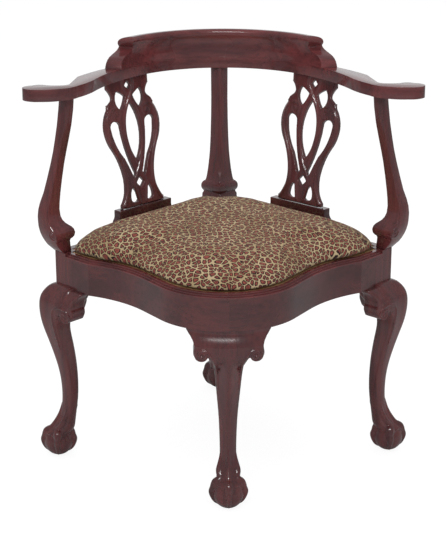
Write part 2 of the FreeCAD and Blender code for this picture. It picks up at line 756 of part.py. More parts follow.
def make_crest():
    body = doc.addObject("PartDesign::Body", "crest_blank")
    sketch = body.newObject("Sketcher::SketchObject", "crest_section")
    sketch.AttachmentSupport = ([f for f in body.Origin.OriginFeatures if f.Role == "YZ_Plane"][0], [""])
    sketch.MapMode = "FlatFace"
    for curve in crest_section():
        sketch.addGeometry(curve, False)
    turned = body.newObject("PartDesign::Revolution", "crest_turned")
    turned.Profile = sketch
    turned.ReferenceAxis = (sketch, ["V_Axis"])
    turned.setExpression("Angle", "180 - 2 * Sizes.crest_end")
    turned.Midplane = True
    body.Tip = turned
    body.Placement = Placement(flat(0, bow_centre, arm_top), Rotation())
    tall = size.crest_height
    top = flat(58, tall + 1)
    ramp = arcs(flat(0, 0), flat(4, 0.19 * tall), flat(17, 0.36 * tall), flat(34, 0.46 * tall), flat(52, 0.62 * tall),
                flat(55, 0.72 * tall), flat(49, 0.8 * tall), flat(48, 0.89 * tall), top)
    above, behind = flat(-30, tall + 1), flat(-30, 0)
    cutters = []
    for name, turn, flip in (("left", size.crest_end, False), ("right", 180 - size.crest_end, True)):
        curves = ramp + [line(top, above), line(above, behind), line(behind, flat(0, 0))]
        cutter = board(f"crest_end_{name}", curves, "Sizes.bow_width * 4", "XZ_Plane", both_ways=True)
        cutter.Placement = crest_end_place(turn, flip)
        cutters.append(cutter)
    shaped = cut("crest_shaped", body, *cutters)
    bores = [screw_bore(f"crest_bore_{n}", turn) for n, turn in enumerate(both_sides(CREST_SCREWS))]
    finish("crest_rail", cut("crest_rail", shaped, *bores))


def both_sides(turns):
    """Places round the left half of the bow, then those opposite them."""
    return turns + tuple(180 - turn for turn in turns)


def crest_end_place(turn, flip):
    """Frame of a crest end: local x along the bow away from the end, y across it, z up."""
    middle = bow_point(size.bow_inner + size.bow_width / 2, turn)
    radial = (middle - flat(0, bow_centre)).normalize()
    along = flat(-radial.y, radial.x) if flip else flat(radial.y, -radial.x)
    return Placement(flat(middle.x, middle.y, arm_top), Rotation(along, Vector(), UP, "XZY"))


def make_crest_screws():
    screws = []
    for n, turn in enumerate(both_sides(CREST_SCREWS)):
        screws.append(rod(f"crest_screw_{n}", "Sizes.screw_radius", "Sizes.screw_length", crest_screw_place(turn)))
    group = doc.addObject("Part::Compound", "crest_screws")
    group.Links = screws
    doc.recompute()
    finish("crest_screws", group)


# Splats and shoes

def reflect(curves):
    """The curves turned over about the Y axis."""
    twins = [curve.copy() for curve in curves]
    for twin in twins:
        twin.mirror(Vector(), Vector(0, 1, 0))
    return twins


def splat_curves(bottom, top):
    """Outline and piercings of a splat, x from its centre line and y up from its shoe."""
    side = [line(flat(0, bottom), flat(58, bottom)), line(flat(58, bottom), flat(58, 8))]
    side += arcs(flat(58, 8), flat(48, 21), flat(42, 40), flat(41, 58), flat(44.5, 80), flat(52.5, 104),
                 flat(64.5, 126), flat(73, 146), flat(75.6, 162), flat(72, 185), flat(61, 204))
    side += [line(flat(61, 204), flat(59.5, 213.5))]
    side += arcs(flat(59.5, 213.5), flat(48.5, 217.5), flat(45, 226), flat(49.5, 236.5), flat(57, 245))
    side += [line(flat(57, 245), flat(57, top)), line(flat(57, top), flat(0, top))]
    # Half of the lens in the middle and of the diamonds above and below it
    side += arcs(flat(0, 92), flat(20.2, 152), flat(0, 213))
    for low, wide, middle, high in ((237.5, 8.7, 246.5, 255.5), (35, 11, 47, 59)):
        side += [line(flat(0, low), flat(wide, middle)), line(flat(wide, middle), flat(0, high))]
    # Long drop between the scroll and the crossing strap
    side += arcs(flat(16, 59.5), flat(23.5, 78), flat(34, 101), flat(53, 134), flat(60, 164), flat(57, 175.5),
                 flat(47, 178), flat(38.5, 175.5), flat(33.5, 169))
    side += arcs(flat(33.5, 169), flat(28.5, 128), flat(10.5, 70), flat(11, 61.5), flat(16, 59.5))
    # Opening under the ear
    side += arcs(flat(32, 237.5), flat(20, 232), flat(10, 225))
    side += arcs(flat(10, 225), flat(16, 211.5), flat(26, 198.5), flat(37, 211), flat(32, 237.5))
    # Drop above the shoe
    side += arcs(flat(23.5, 39.5), flat(13.5, 28), flat(9.8, 13), flat(20, 8), flat(30.7, 13), flat(29.8, 27),
                 flat(23.5, 39.5))
    return side + reflect(side)


def splat_rise():
    """Length of a splat's face from its shoe to the underside of the arm."""
    return (size.arm_bottom - splat_foot) * math.sqrt(1 + size.splat_lean ** 2)


def splat_tongue(name, gap, top):
    """The end of a splat that enters the shoe or the arm, larger all round by gap."""
    rise = splat_rise()
    depth = size.splat_tongue
    half = 50 + gap
    low, high = (rise - 6, rise + depth + gap) if top else (-depth - gap, 6)
    thick = f"Sizes.splat_thick + {2 * gap}"
    tongue = board(name, polygon([flat(-half, low), flat(half, low), flat(half, high), flat(-half, high)]), thick)
    place = splat_place()
    tongue.Placement = place.multiply(Placement(Vector(0, 0, -gap), Rotation()))
    return tongue


def make_splats():
    rise = splat_rise()
    bottom, top = -14, rise + 14
    sawn = board("splat_sawn", splat_curves(bottom, top), "Sizes.splat_thick")
    sawn.Placement = splat_place()
    # Cut off level at the shoe and the arm, and flush with the outer edge of the bow
    room = rod("splat_room", "Sizes.bow_inner + Sizes.bow_width", "Sizes.arm_bottom - Sizes.rail_top - Sizes.shoe_height",
               Placement(Vector(0, bow_centre, splat_foot), Rotation()))
    fretted = overlap("splat_fretted", sawn, room)
    splat = join("left_splat", fretted, splat_tongue("splat_tongue_top", 0, True), splat_tongue("splat_tongue_foot", 0, False))
    finish("left_splat", splat)
    mirrored("right_splat", splat)


def make_shoes():
    half, width, tall = size.shoe_length / 2, size.shoe_width, size.shoe_height
    profile = [
        line(flat(half + 3, 0), flat(half + 3, 0.55 * tall)),
        arc(flat(half + 3, 0.55 * tall), flat(half - 1, 0.66 * tall), flat(half - 2, 0.8 * tall)),
        line(flat(half - 2, 0.8 * tall), flat(half - 2, tall)),
        line(flat(half - 2, tall), flat(-half + 2, tall)),
        line(flat(-half + 2, tall), flat(-half + 2, 0.8 * tall)),
        arc(flat(-half + 2, 0.8 * tall), flat(-half + 1, 0.66 * tall), flat(-half - 3, 0.55 * tall)),
        line(flat(-half - 3, 0.55 * tall), flat(-half - 3, 0)),
        line(flat(-half - 3, 0), flat(half + 3, 0)),
    ]
    blank = board("shoe_blank", profile, "Sizes.shoe_width")
    along = Vector(-1, -1, 0).normalize()
    outwards = Vector(-1, 1, 0).normalize()
    spot = outwards * shoe_face
    blank.Placement = Placement(flat(spot.x, spot.y, size.rail_top), Rotation(along, UP, along.cross(UP), "XYZ"))
    groove = splat_tongue("shoe_groove", size.joint_gap, False)
    shoe = finish("left_splat_shoe", cut("left_splat_shoe", blank, groove))
    mirrored("right_splat_shoe", shoe)


# Slip seat

def seat_outline(inset):
    """Left half of the slip seat's outline, inset from the rails' faces, from front to back."""
    near = serpentine(inset, size.support_base + size.seat_gap)
    edge = size.seat_corner - inset * ROOT2
    notch = size.seat_corner - (size.support_base + size.seat_gap) * ROOT2
    side_front = near[0].StartPoint
    side_back = flat(side_front.x, -side_front.y)
    # The back corner is notched square round the back post.
    post_front = size.seat_corner - size.stile / ROOT2 - ROOT2 * (size.post_ring / 2 + size.seat_gap)
    turn = (edge - post_front) / 2
    corners = [side_front, flat(-notch, 0), side_back, flat(-turn, edge - turn), flat(0, post_front)]
    return near + [line(a, b) for a, b in zip(corners, corners[1:])]


def make_slip_seat():
    inset = size.lip_width + size.seat_gap
    half = seat_outline(inset)
    bottom = ledge + size.seat_rest
    outline = half + reflect(half)
    plate = board("seat_plate", outline, "Sizes.frame_thick", offset=bottom)
    inner_side = size.seat_corner / ROOT2 - inset - size.frame_width
    front = size.front_reach - inset - size.frame_width
    well = board("seat_well", kite(inner_side, front), "Sizes.frame_thick + 2", offset=bottom - 1)
    ring = cut("seat_ring", plate, well)
    reach = 400
    for label, x, y in (("seat_frame_left_front", -reach, -reach), ("seat_frame_right_front", 0, -reach),
                        ("seat_frame_left_back", -reach, 0), ("seat_frame_right_back", 0, 0)):
        quarter = box(label + "_quarter", f"{reach}", f"{reach}", "Sizes.frame_thick + 4",
                      Placement(Vector(x, y, bottom - 2), Rotation()))
        finish(label, overlap(label, ring, quarter))
    make_webbing(bottom + size.frame_thick, inner_side)
    make_dust_cloth(bottom, inner_side)
    make_cushion(bottom + size.frame_thick + 2 * size.web_thick + size.seat_rest)


def kite(half_side, front):
    """A square turned by 45 degrees, its front corner cut off at y = -front."""
    corner = half_side * ROOT2
    return polygon([flat(0, corner), flat(-corner, 0), flat(front - corner, -front), flat(corner - front, -front),
                    flat(corner, 0)])


def make_webbing(height, inner_side):
    """Three straps each way, the second layer over the first, tacked on the frame."""
    straps = []
    length = 2 * inner_side + 0.7 * size.frame_width
    for layer in range(2):
        for number in (-1, 0, 1):
            strap = box(f"strap_{layer}_{number + 1}", f"{length:.4f}", "Sizes.web_width", "Sizes.web_thick")
            shift = Placement(Vector(-length / 2, number * size.web_pitch - size.web_width / 2,
                                     height + layer * size.web_thick), Rotation())
            strap.Placement = Placement(Vector(0, 0, 0), Rotation(UP, 45 + 90 * layer)).multiply(shift)
            straps.append(strap)
    group = doc.addObject("Part::Compound", "seat_webbing")
    group.Links = straps
    doc.recompute()
    finish("seat_webbing", group)


def make_dust_cloth(height, inner_side):
    stile_back = front_corner - ROOT2 * size.stile
    cloth = board("dust_cloth", kite(inner_side + 10, stile_back - 4), "Sizes.cloth_thick",
                  offset=height - size.cloth_thick)
    finish("dust_cloth", cloth)


CUSHION_LAYERS = [
    # share of the crown, inset from the frame's edge and how far the outline is smoothed
    (0, 4.5, 0), (0.1, 2.6, 1), (0.36, 3, 1), (0.62, 11, 2), (0.82, 34, 4), (0.94, 80, 6), (1, 165, 8),
]
CUSHION_POINTS = 60


def make_cushion(bottom):
    """Crowned pad over the frame: rings that swell past their foot and close over the top."""
    half = seat_outline(size.lip_width + size.seat_gap)
    outline = Part.Wire(Part.__sortEdges__([curve.toShape() for curve in half + reflect(half)]))
    middle = flat(0, (size.seat_corner - size.front_reach) / 4)
    spokes = []
    for number in range(CUSHION_POINTS):
        turn = 2 * math.pi * number / CUSHION_POINTS
        ray = line(middle, middle + flat(math.cos(turn), math.sin(turn)) * 500).toShape()
        hit = outline.distToShape(ray)[1][0][0]
        spokes.append(hit - middle)
    rings = []
    for share, draw, smooth in CUSHION_LAYERS:
        ring = []
        for number, spoke in enumerate(spokes):
            near_by = [spokes[(number + step) % CUSHION_POINTS].Length for step in range(-smooth, smooth + 1)]
            reach = min(sum(near_by) / len(near_by), spoke.Length) - draw
            spot = middle + spoke * (reach / spoke.Length)
            ring.append(flat(spot.x, spot.y, bottom + share * size.cushion_crown))
        rings.append(ring)
    solid_piece("seat_cushion", faceted(rings))


# Glue blocks

def make_glue_blocks():
    low = size.rail_bottom + size.block_drop
    tall = "Sizes.rail_top - Sizes.rebate_depth - Sizes.rail_bottom - 2 * Sizes.block_drop"
    near, far = size.rail_thick, size.stile + size.block_reach
    plan = polygon([flat(-size.stile, -near), flat(-far, -near), flat(-near, -far), flat(-near, -size.stile),
                    flat(-size.stile, -size.stile)])
    for where in ("left", "right", "back"):
        block = board(f"{where}_glue_block", plan, tall, offset=low)
        finish(f"{where}_glue_block", placed(block, CORNERS[where]))
    # Beside the front leg the rails curve away, and a shaped block fills the gap on each side.
    stile = size.stile
    wedge = polygon([flat(0, -6), flat(0, -stile), flat(-30, -stile), flat(-30, -stile - 10), flat(25, -120),
                     flat(49, -120), flat(45, -70), flat(33, -35), flat(12, -6)])
    blank = placed(board("front_block_blank", wedge, tall, offset=low), CORNERS["front"])
    trim = board("front_block_trim", band(-5, size.rail_thick), tall, offset=low)
    block = finish("front_glue_block_left", cut("front_glue_block_left", blank, trim))
    mirrored("front_glue_block_right", block)


make_legs()
make_brackets()
make_front_rails()
make_back_rails()
make_mouldings()
make_arm_supports()
make_back_post()
make_arms()
make_crest()
make_crest_screws()
make_splats()
make_shoes()
make_slip_seat()
make_glue_blocks()

# Origin on the floor, midway between the outermost points of the front and the back foot
shift = Placement(flat(0, (front_corner - size.seat_corner) / 2), Rotation())
for thing in pieces:
    # A mirrored piece follows its source.
    if thing.TypeId != "Part::Mirroring":
        thing.Placement = shift.multiply(thing.Placement)
doc.recompute()

failed = [thing.Name for thing in doc.Objects if {"Invalid", "Error"} & set(thing.State)]
if failed:
    raise RuntimeError("failed: " + ", ".join(failed))
os.makedirs("parts", exist_ok=True)
for thing in pieces:
    shape = thing.Shape
    if shape.isNull() or not shape.isValid():
        raise RuntimeError(f"{thing.Label} has no valid shape")
    shape.exportStep(f"parts/{thing.Label}.step")
    print(f"{thing.Label}: {len(shape.Solids)} solid(s), {shape.Volume / 1000:.1f} cm3")
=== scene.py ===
"""Corner chair in mahogany with a leopard-print slip seat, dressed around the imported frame."""
import math

import bpy
from mathutils import Matrix, Vector


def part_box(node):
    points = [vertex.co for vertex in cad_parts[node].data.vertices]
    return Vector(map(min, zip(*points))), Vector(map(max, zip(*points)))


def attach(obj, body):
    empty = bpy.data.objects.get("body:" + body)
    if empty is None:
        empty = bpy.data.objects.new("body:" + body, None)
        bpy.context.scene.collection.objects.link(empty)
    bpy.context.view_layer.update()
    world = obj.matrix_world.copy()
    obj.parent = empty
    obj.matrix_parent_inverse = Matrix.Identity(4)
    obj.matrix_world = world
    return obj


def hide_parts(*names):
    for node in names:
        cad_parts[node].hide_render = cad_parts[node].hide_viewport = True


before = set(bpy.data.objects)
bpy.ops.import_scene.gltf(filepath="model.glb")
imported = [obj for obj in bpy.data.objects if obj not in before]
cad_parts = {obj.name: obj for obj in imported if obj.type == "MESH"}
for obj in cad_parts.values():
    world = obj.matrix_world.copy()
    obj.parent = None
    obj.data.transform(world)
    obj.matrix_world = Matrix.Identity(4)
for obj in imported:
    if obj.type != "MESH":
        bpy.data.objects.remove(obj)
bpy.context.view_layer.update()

MM = 0.001
SEAT_Y = -46.75          # seat centre, mm along Y
LEG_CORNER = 332.5       # seat centre to the outer corner of a side or back leg
FRONT_CORNER = 239.0     # seat centre to the outer corner of the front leg
RAIL_BOTTOM = 366.0      # heights above the floor
RAIL_TOP = 437.0
ARM_TOP = 766.0
BOW_Y = 78.0 + SEAT_Y    # centre of the bow of arms and crest rail


# Modelling helpers

def clear_selection():
    if bpy.context.object and bpy.context.object.mode != "OBJECT":
        bpy.ops.object.mode_set(mode="OBJECT")
    bpy.ops.object.select_all(action="DESELECT")


def take(piece):
    """Make a piece the one selected, active object."""
    clear_selection()
    piece.select_set(True)
    bpy.context.view_layer.objects.active = piece
    return piece


def named(name):
    piece = bpy.context.object
    piece.name = piece.data.name = name
    return piece


def apply_place(piece):
    """Move an object's place, turn and scale into its mesh."""
    take(piece)
    bpy.ops.object.transform_apply(location=True, rotation=True, scale=True)
    return piece


def modify(piece, kind, **settings):
    """Add a modifier and apply it."""
    take(piece)
    modifier = piece.modifiers.new(kind.title(), kind)
    for key, value in settings.items():
        setattr(modifier, key, value)
    bpy.ops.object.modifier_apply(modifier=modifier.name)
    return piece


def smooth(piece, angle=30):
    take(piece)
    bpy.ops.object.shade_smooth_by_angle(angle=math.radians(angle))
    return piece


def merged(name, pieces):
    """Join pieces into one object."""
    clear_selection()
    for piece in pieces:
        piece.select_set(True)
    bpy.context.view_layer.objects.active = pieces[0]
    bpy.ops.object.join()
    return named(name)


def edit(piece):
    """Open a piece in edit mode with all of it selected."""
    take(piece)
    bpy.ops.object.mode_set(mode="EDIT")
    bpy.ops.mesh.select_all(action="SELECT")


def done():
    bpy.ops.object.mode_set(mode="OBJECT")


def closed_up(piece):
    """Close a piece's mesh and turn its faces outwards."""
    edit(piece)
    bpy.ops.mesh.fill_holes(sides=0)
    bpy.ops.mesh.normals_make_consistent(inside=False)
    done()
    return piece


def levelled(piece, height, keep_below=False):
    """Cut a piece off level at a height in mm, and close the cut."""
    edit(piece)
    bpy.ops.mesh.bisect(plane_co=(0, 0, height * MM), plane_no=(0, 0, 1), clear_outer=keep_below,
                        clear_inner=not keep_below, use_fill=True)
    done()


def cut(piece, tool, operation="DIFFERENCE"):
    """Cut a piece with a tool, which is used up."""
    modify(piece, "BOOLEAN", object=tool, operation=operation, solver="EXACT")
    bpy.data.objects.remove(tool)
    return piece


def duplicate(mesh, name):
    piece = bpy.data.objects.new(name, mesh.copy())
    piece.data.name = name
    bpy.context.scene.collection.objects.link(piece)
    return piece


def copy_of(node, name):
    """A merged copy of a CAD node's mesh, ready to be worked on."""
    piece = duplicate(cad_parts[node].data, name)
    edit(piece)
    bpy.ops.mesh.remove_doubles(threshold=0.01 * MM)
    bpy.ops.mesh.dissolve_limited(angle_limit=math.radians(2))
    done()
    piece.data.materials.clear()
    return piece


def eased(node, name, width, segments):
    """A copy of a CAD node with its arrises eased."""
    piece = copy_of(node, name)
    modify(piece, "BEVEL", width=width * MM, segments=segments, limit_method="ANGLE",
           angle_limit=math.radians(35))
    return smooth(piece)


def swept(name, points, radii, place=Matrix.Identity(4), sides=3):
    """A round bar along a smooth line, its radius varying from point to point, in mm."""
    line = bpy.data.curves.new(name, "CURVE")
    line.dimensions = "3D"
    line.bevel_depth = MM
    line.bevel_resolution = sides
    line.use_fill_caps = True
    line.resolution_u = 6
    spline = line.splines.new("NURBS")
    spline.points.add(len(points) - 1)
    for number, point in enumerate(points):
        spline.points[number].co = (*(Vector(point) * MM), 1)
        spline.points[number].radius = radii[number] if isinstance(radii, list) else radii
    spline.order_u = 3
    spline.use_endpoint_u = True
    piece = bpy.data.objects.new(name, line)
    bpy.context.scene.collection.objects.link(piece)
    take(piece)
    bpy.ops.object.convert(target="MESH")
    piece = bpy.context.object
    piece.matrix_world = place @ piece.matrix_world
    return apply_place(piece)


def lofted(name, rings):
    """A closed skin drawn up from one ring of points to the next, in mm."""
    sides = len(rings[0])
    clear_selection()
    bpy.ops.mesh.primitive_circle_add(vertices=sides, radius=MM, fill_type="NGON")
    skin = named(name)
    edit(skin)
    for ring in rings[1:]:
        bpy.ops.mesh.extrude_region_move(TRANSFORM_OT_translate={"value": (0, 0, MM)})
    done()
    for number, vertex in enumerate(skin.data.vertices):
        vertex.co = Vector(rings[number // sides][number % sides]) * MM
    return closed_up(skin)


def outline(name, points, fill="NGON"):
    """A flat face, or with fill NOTHING a loop of edges, through the points in mm."""
    clear_selection()
    bpy.ops.mesh.primitive_circle_add(vertices=len(points), radius=MM, fill_type=fill)
    face = named(name)
    for vertex, point in zip(face.data.vertices, points):
        vertex.co = Vector(point) * MM
    return face


def board(name, points, width):
    """A board cut to an outline in the YZ plane, its width along X, all in mm."""
    piece = outline(name, points)
    edit(piece)
    bpy.ops.mesh.extrude_region_move(TRANSFORM_OT_translate={"value": (width * MM, 0, 0)})
    done()
    return closed_up(piece)


def turned(name, section, axis=(0, 0), steps=96):
    """A ring turned from a closed section in the XZ plane about an upright axis, all in mm."""
    ring = outline(name, [(x, 0, z) for x, z in section], "NOTHING")
    edit(ring)
    bpy.ops.mesh.spin(steps=steps, angle=2 * math.pi, center=(axis[0] * MM, axis[1] * MM, 0), axis=(0, 0, 1))
    bpy.ops.mesh.select_all(action="SELECT")
    bpy.ops.mesh.remove_doubles(threshold=0.01 * MM)
    bpy.ops.mesh.normals_make_consistent(inside=False)
    done()
    return ring


def carved(piece, voxel, rounds, strength=0.5):
    """Work several overlapping shells into one carved surface."""
    modify(piece, "REMESH", mode="VOXEL", voxel_size=voxel * MM, adaptivity=0)
    modify(piece, "SMOOTH", factor=strength, iterations=rounds)
    take(piece)
    bpy.ops.object.shade_smooth()
    return piece


def show(piece, material, body="chair_frame", stands_for=()):
    piece.data.materials.clear()
    piece.data.materials.append(material)
    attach(piece, body)
    if stands_for:
        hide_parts(*stands_for)
    return piece


# Shader helpers

class Value:
    """A shader socket; arithmetic on it adds Math nodes."""

    def __init__(self, finish, socket):
        self.finish, self.socket = finish, socket

    def math(self, operation, *values):
        return self.finish.node("ShaderNodeMath", {"operation": operation}, *values)

    def __add__(self, other):
        return self.math("ADD", self, other)

    def __sub__(self, other):
        return self.math("SUBTRACT", self, other)

    def __rsub__(self, other):
        return self.math("SUBTRACT", other, self)

    def __mul__(self, other):
        return self.math("MULTIPLY", self, other)

    __radd__ = __add__
    __rmul__ = __mul__

    def rises(self, low, high):
        """0 below low and 1 above high, smooth between."""
        return self.finish.node("ShaderNodeMapRange", {"interpolation_type": "SMOOTHSTEP"},
                                self, low, high)


class Finish:
    """A material and the nodes that make it."""

    def __init__(self, name):
        self.material = bpy.data.materials.new(name)
        self.material.use_nodes = True
        self.tree = self.material.node_tree
        self.tree.nodes.clear()

    def node(self, kind, settings, *inputs, out=0, **named_inputs):
        made = self.tree.nodes.new(kind)
        for key, value in settings.items():
            setattr(made, key, value)
        by_name = [(key.replace("_", " "), value) for key, value in named_inputs.items()]
        for key, value in [*enumerate(inputs), *by_name]:
            if isinstance(value, Value):
                self.tree.links.new(value.socket, made.inputs[key])
            elif value is not None:
                made.inputs[key].default_value = value
        return Value(self, made.outputs[out])

    def place(self, source="Object", scale=(1, 1, 1), turn=(0, 0, 0)):
        """Coordinates to lay a pattern on, turned and scaled."""
        coordinates = self.node("ShaderNodeTexCoord", {}, out=source)
        return self.node("ShaderNodeMapping", {}, coordinates, None, turn, scale)

    def noise(self, vector, scale, detail=3, rough=0.5, out="Fac"):
        return self.node("ShaderNodeTexNoise", {}, Vector=vector, Scale=scale, Detail=detail,
                         Roughness=rough, out=out)

    def blend(self, factor, first, second):
        """One colour over another, where the factor is 1."""
        made = self.tree.nodes.new("ShaderNodeMix")
        made.data_type = "RGBA"
        for key, value in (("Factor_Float", factor), ("A_Color", first), ("B_Color", second)):
            target = [s for s in made.inputs if s.identifier == key][0]
            if isinstance(value, Value):
                self.tree.links.new(value.socket, target)
            else:
                target.default_value = value
        return Value(self, [s for s in made.outputs if s.identifier == "Result_Color"][0])

    def surface(self, height, depth, reach, **settings):
        """The material itself: a relief of this height, and the shader's own settings."""
        shader = self.tree.nodes.new("ShaderNodeBsdfPrincipled")
        for key, value in settings.items():
            socket = shader.inputs[key.replace("_", " ")]
            if isinstance(value, Value):
                self.tree.links.new(value.socket, socket)
            else:
                socket.default_value = value
        bump = self.node("ShaderNodeBump", {}, Strength=depth, Distance=reach, Height=height)
        self.tree.links.new(bump.socket, shader.inputs["Normal"])
        return self.finished(shader.outputs[0])

    def finished(self, surface):
        output = self.tree.nodes.new("ShaderNodeOutputMaterial")
        self.tree.links.new(surface, output.inputs["Surface"])
        return self.material


def tint(red, green, blue):
    """A colour as seen on a screen, 0 to 255, as the shader wants it."""
    return tuple((c / 255 / 12.92 if c / 255 <= 0.04045 else ((c / 255 + 0.055) / 1.055) ** 2.4)
                 for c in (red, green, blue)) + (1.0,)


# Lights, middle tones, streaks and pores of the stained wood
STAIN = [(92, 41, 41), (70, 32, 33), (45, 21, 23), (28, 14, 14)]


def mahogany(name, turn=(0, 0, 0), along=2, depth=1.0):
    """Stained mahogany, polished: long grain along one axis of the turned coordinates, dark pores."""
    # depth darkens or lightens every tone; on the rails' copies it is painted shade
    light, middle, dark, pore = [tint(*(channel * depth for channel in stain)) for stain in STAIN]
    finish = Finish(name)
    stretched, stretched_more = [1.0, 1.0, 1.0], [1.0, 1.0, 1.0]
    stretched[along], stretched_more[along] = 0.07, 0.035
    grain = finish.place(turn=turn, scale=stretched)
    broad = finish.noise(grain, 26, 3, 0.55)
    streak = finish.noise(grain, 150, 4, 0.6)
    pores = finish.noise(finish.place(turn=turn, scale=stretched_more), 900, 2, 0.5)
    wear = finish.noise(finish.place(), 9, 2, 0.5)
    tone = finish.blend(broad.rises(0.3, 0.7), middle, light)
    tone = finish.blend(streak.rises(0.42, 0.72) * 0.5, tone, dark)
    tone = finish.blend(pores.rises(0.6, 0.72) * 0.5, tone, pore)
    rough = 0.2 + wear * 0.14
    height = streak * 0.5 - pores.rises(0.58, 0.75)
    return finish.surface(height, 0.12, 0.0003, Base_Color=tone, Roughness=rough,
                          Specular_IOR_Level=0.45, Coat_Weight=0.9, Coat_Roughness=0.07)


def plain_wood(name):
    finish = Finish(name)
    grain = finish.place(scale=(1, 0.08, 1), turn=(0, 0, math.radians(45)))
    broad = finish.noise(grain, 30, 3)
    fine = finish.noise(grain, 260, 3)
    tone = finish.blend(broad.rises(0.3, 0.7), tint(170, 130, 86), tint(196, 158, 112))
    tone = finish.blend(fine.rises(0.5, 0.75) * 0.4, tone, tint(130, 94, 60))
    return finish.surface(fine, 0.2, 0.0004, Base_Color=tone, Roughness=0.7)


SPOTS_PER_METRE = 92


def leopard(name):
    """Printed leopard cloth, laid out on the cover's own flat map in metres."""
    finish = Finish(name)
    flat = finish.place("UV")
    sway = finish.noise(flat, 60, 2, 0.5, out="Color")
    bent = finish.node("ShaderNodeVectorMath", {"operation": "MULTIPLY_ADD"},
                       sway, (0.011, 0.011, 0), flat)
    # How far a spot of the cloth is inside its cell, and how far from the cell's middle
    inside, middle = [
        finish.node("ShaderNodeTexVoronoi", {"voronoi_dimensions": "2D", "feature": feature},
                    Vector=bent, Scale=SPOTS_PER_METRE, Randomness=0.95)
        for feature in ("DISTANCE_TO_EDGE", "F1")]
    edge = finish.noise(flat, 260, 2, 0.5)
    drift = finish.noise(flat, 75, 1, 0.5)
    patch = finish.noise(flat, 190, 1, 0.5)
    inside = inside + 0.13 - middle * 0.28 + (edge - 0.5) * 0.26 + (drift - 0.5) * 0.22
    spot = inside.rises(0.085, 0.115)
    heart = (inside + (patch - 0.5) * 0.3).rises(0.27, 0.31)
    ground = finish.blend(finish.noise(flat, 16, 2).rises(0.35, 0.65), tint(142, 124, 92),
                          tint(164, 146, 114))
    tone = finish.blend(spot, ground, tint(34, 22, 26))
    heart_tone = finish.blend(patch.rises(0.4, 0.6), tint(126, 66, 56), tint(98, 48, 44))
    tone = finish.blend(heart, tone, heart_tone)
    weave = finish.node("ShaderNodeTexVoronoi", {}, Vector=flat, Scale=1400, Randomness=0.2)
    tone = finish.blend(finish.noise(flat, 700, 2).rises(0.3, 0.8) * 0.2, tone, tint(80, 58, 46))
    return finish.surface(weave, 0.35, 0.0004, Base_Color=tone, Roughness=0.9, Sheen_Weight=0.04,
                          Specular_IOR_Level=0.12)


def webbing(name):
    finish = Finish(name)
    place = finish.place(turn=(0, 0, math.radians(45)))
    ribs = finish.node("ShaderNodeTexWave", {"wave_type": "BANDS"}, Vector=place, Scale=180,
                       Distortion=0.4)
    tone = finish.blend(ribs, tint(96, 74, 48), tint(158, 128, 86))
    return finish.surface(ribs, 0.6, 0.0006, Base_Color=tone, Roughness=0.9)


def black_cloth(name):
    finish = Finish(name)
    threads = finish.noise(finish.place(scale=(1, 0.2, 1)), 900, 2)
    tone = finish.blend(threads, tint(14, 14, 15), tint(44, 43, 44))
    return finish.surface(threads, 0.4, 0.0003, Base_Color=tone, Roughness=0.95)


def steel(name):
    finish = Finish(name)
    scratches = finish.noise(finish.place(scale=(1, 1, 0.1)), 700, 2)
    tone = finish.blend(scratches, tint(150, 148, 142), tint(196, 194, 188))
    return finish.surface(scratches, 0.1, 0.0001, Base_Color=tone, Metallic=1.0, Roughness=0.35)


UPRIGHT = mahogany("mahogany_upright", depth=0.98)
LEG = mahogany("mahogany_leg", depth=0.94)
# The rails' two copies are painted darker than the uprights, as painted shade on the rails. The copy with its
# grain turned to the right is darker still, as painted shade on the right front rail; the left back rail and
# the left shoe share it.
CROSS_LEFT_SHADED = mahogany("mahogany_left_front_shaded", (0, 0, math.radians(45)), 0, 0.86)
CROSS_RIGHT_SHADED = mahogany("mahogany_right_front_shaded", (0, 0, math.radians(-45)), 0, 0.8)
ACROSS = mahogany("mahogany_bow", (0, 0, 0), 0, 1.06)
PLAIN = plain_wood("plain_wood")
LEOPARD = leopard("leopard_cloth")
WEBBING = webbing("webbing")
CLOTH = black_cloth("black_cloth")
STEEL = steel("screw_steel")


# Cushion: the cover pulled over a crowned pad

POST_INSET = 30 * math.sqrt(2)     # leg's corner to the seat's notch, along the diagonal
VOXEL = 5.0                        # of the pad, mm
SWELL = 4.0                        # most that the simulation may move the cover, mm


def corner_stuffing(corner, turn):
    """Stuffing that fills the pad out beside a support or the back post."""
    clear_selection()
    along = Matrix.Rotation(math.radians(turn), 4, "Z")
    spot = Vector(corner) * MM + along @ (Vector((76, 0, 452)) * MM)
    bpy.ops.mesh.primitive_uv_sphere_add(segments=32, ring_count=16, radius=1, location=spot,
                                         rotation=(0, 0, math.radians(turn)),
                                         scale=(45 * MM, 19 * MM, 14 * MM))
    return apply_place(named("stuffing"))


def blown_up(piece, floor):
    """Swell the cover with a cloth simulation, its tacked edge held."""
    rest = [vertex.co.copy() for vertex in piece.data.vertices]
    held = piece.vertex_groups.new(name="held")
    held.add([v.index for v in piece.data.vertices if v.co.z < floor + 8 * MM], 1.0, "REPLACE")
    take(piece)
    cloth = piece.modifiers.new("Cloth", "CLOTH")
    cloth.settings.use_pressure = True
    cloth.settings.uniform_pressure_force = 4
    cloth.settings.effector_weights.gravity = 0
    cloth.settings.vertex_group_mass = "held"
    cloth.settings.quality = 5
    for step in range(1, 21):
        bpy.context.scene.frame_set(step)
    bpy.ops.object.modifier_apply(modifier=cloth.name)
    bpy.context.scene.frame_set(1)
    for vertex, start in zip(piece.data.vertices, rest):
        move = vertex.co - start
        if move.length > SWELL * MM:
            vertex.co = start + move.normalized() * SWELL * MM
    piece.vertex_groups.clear()


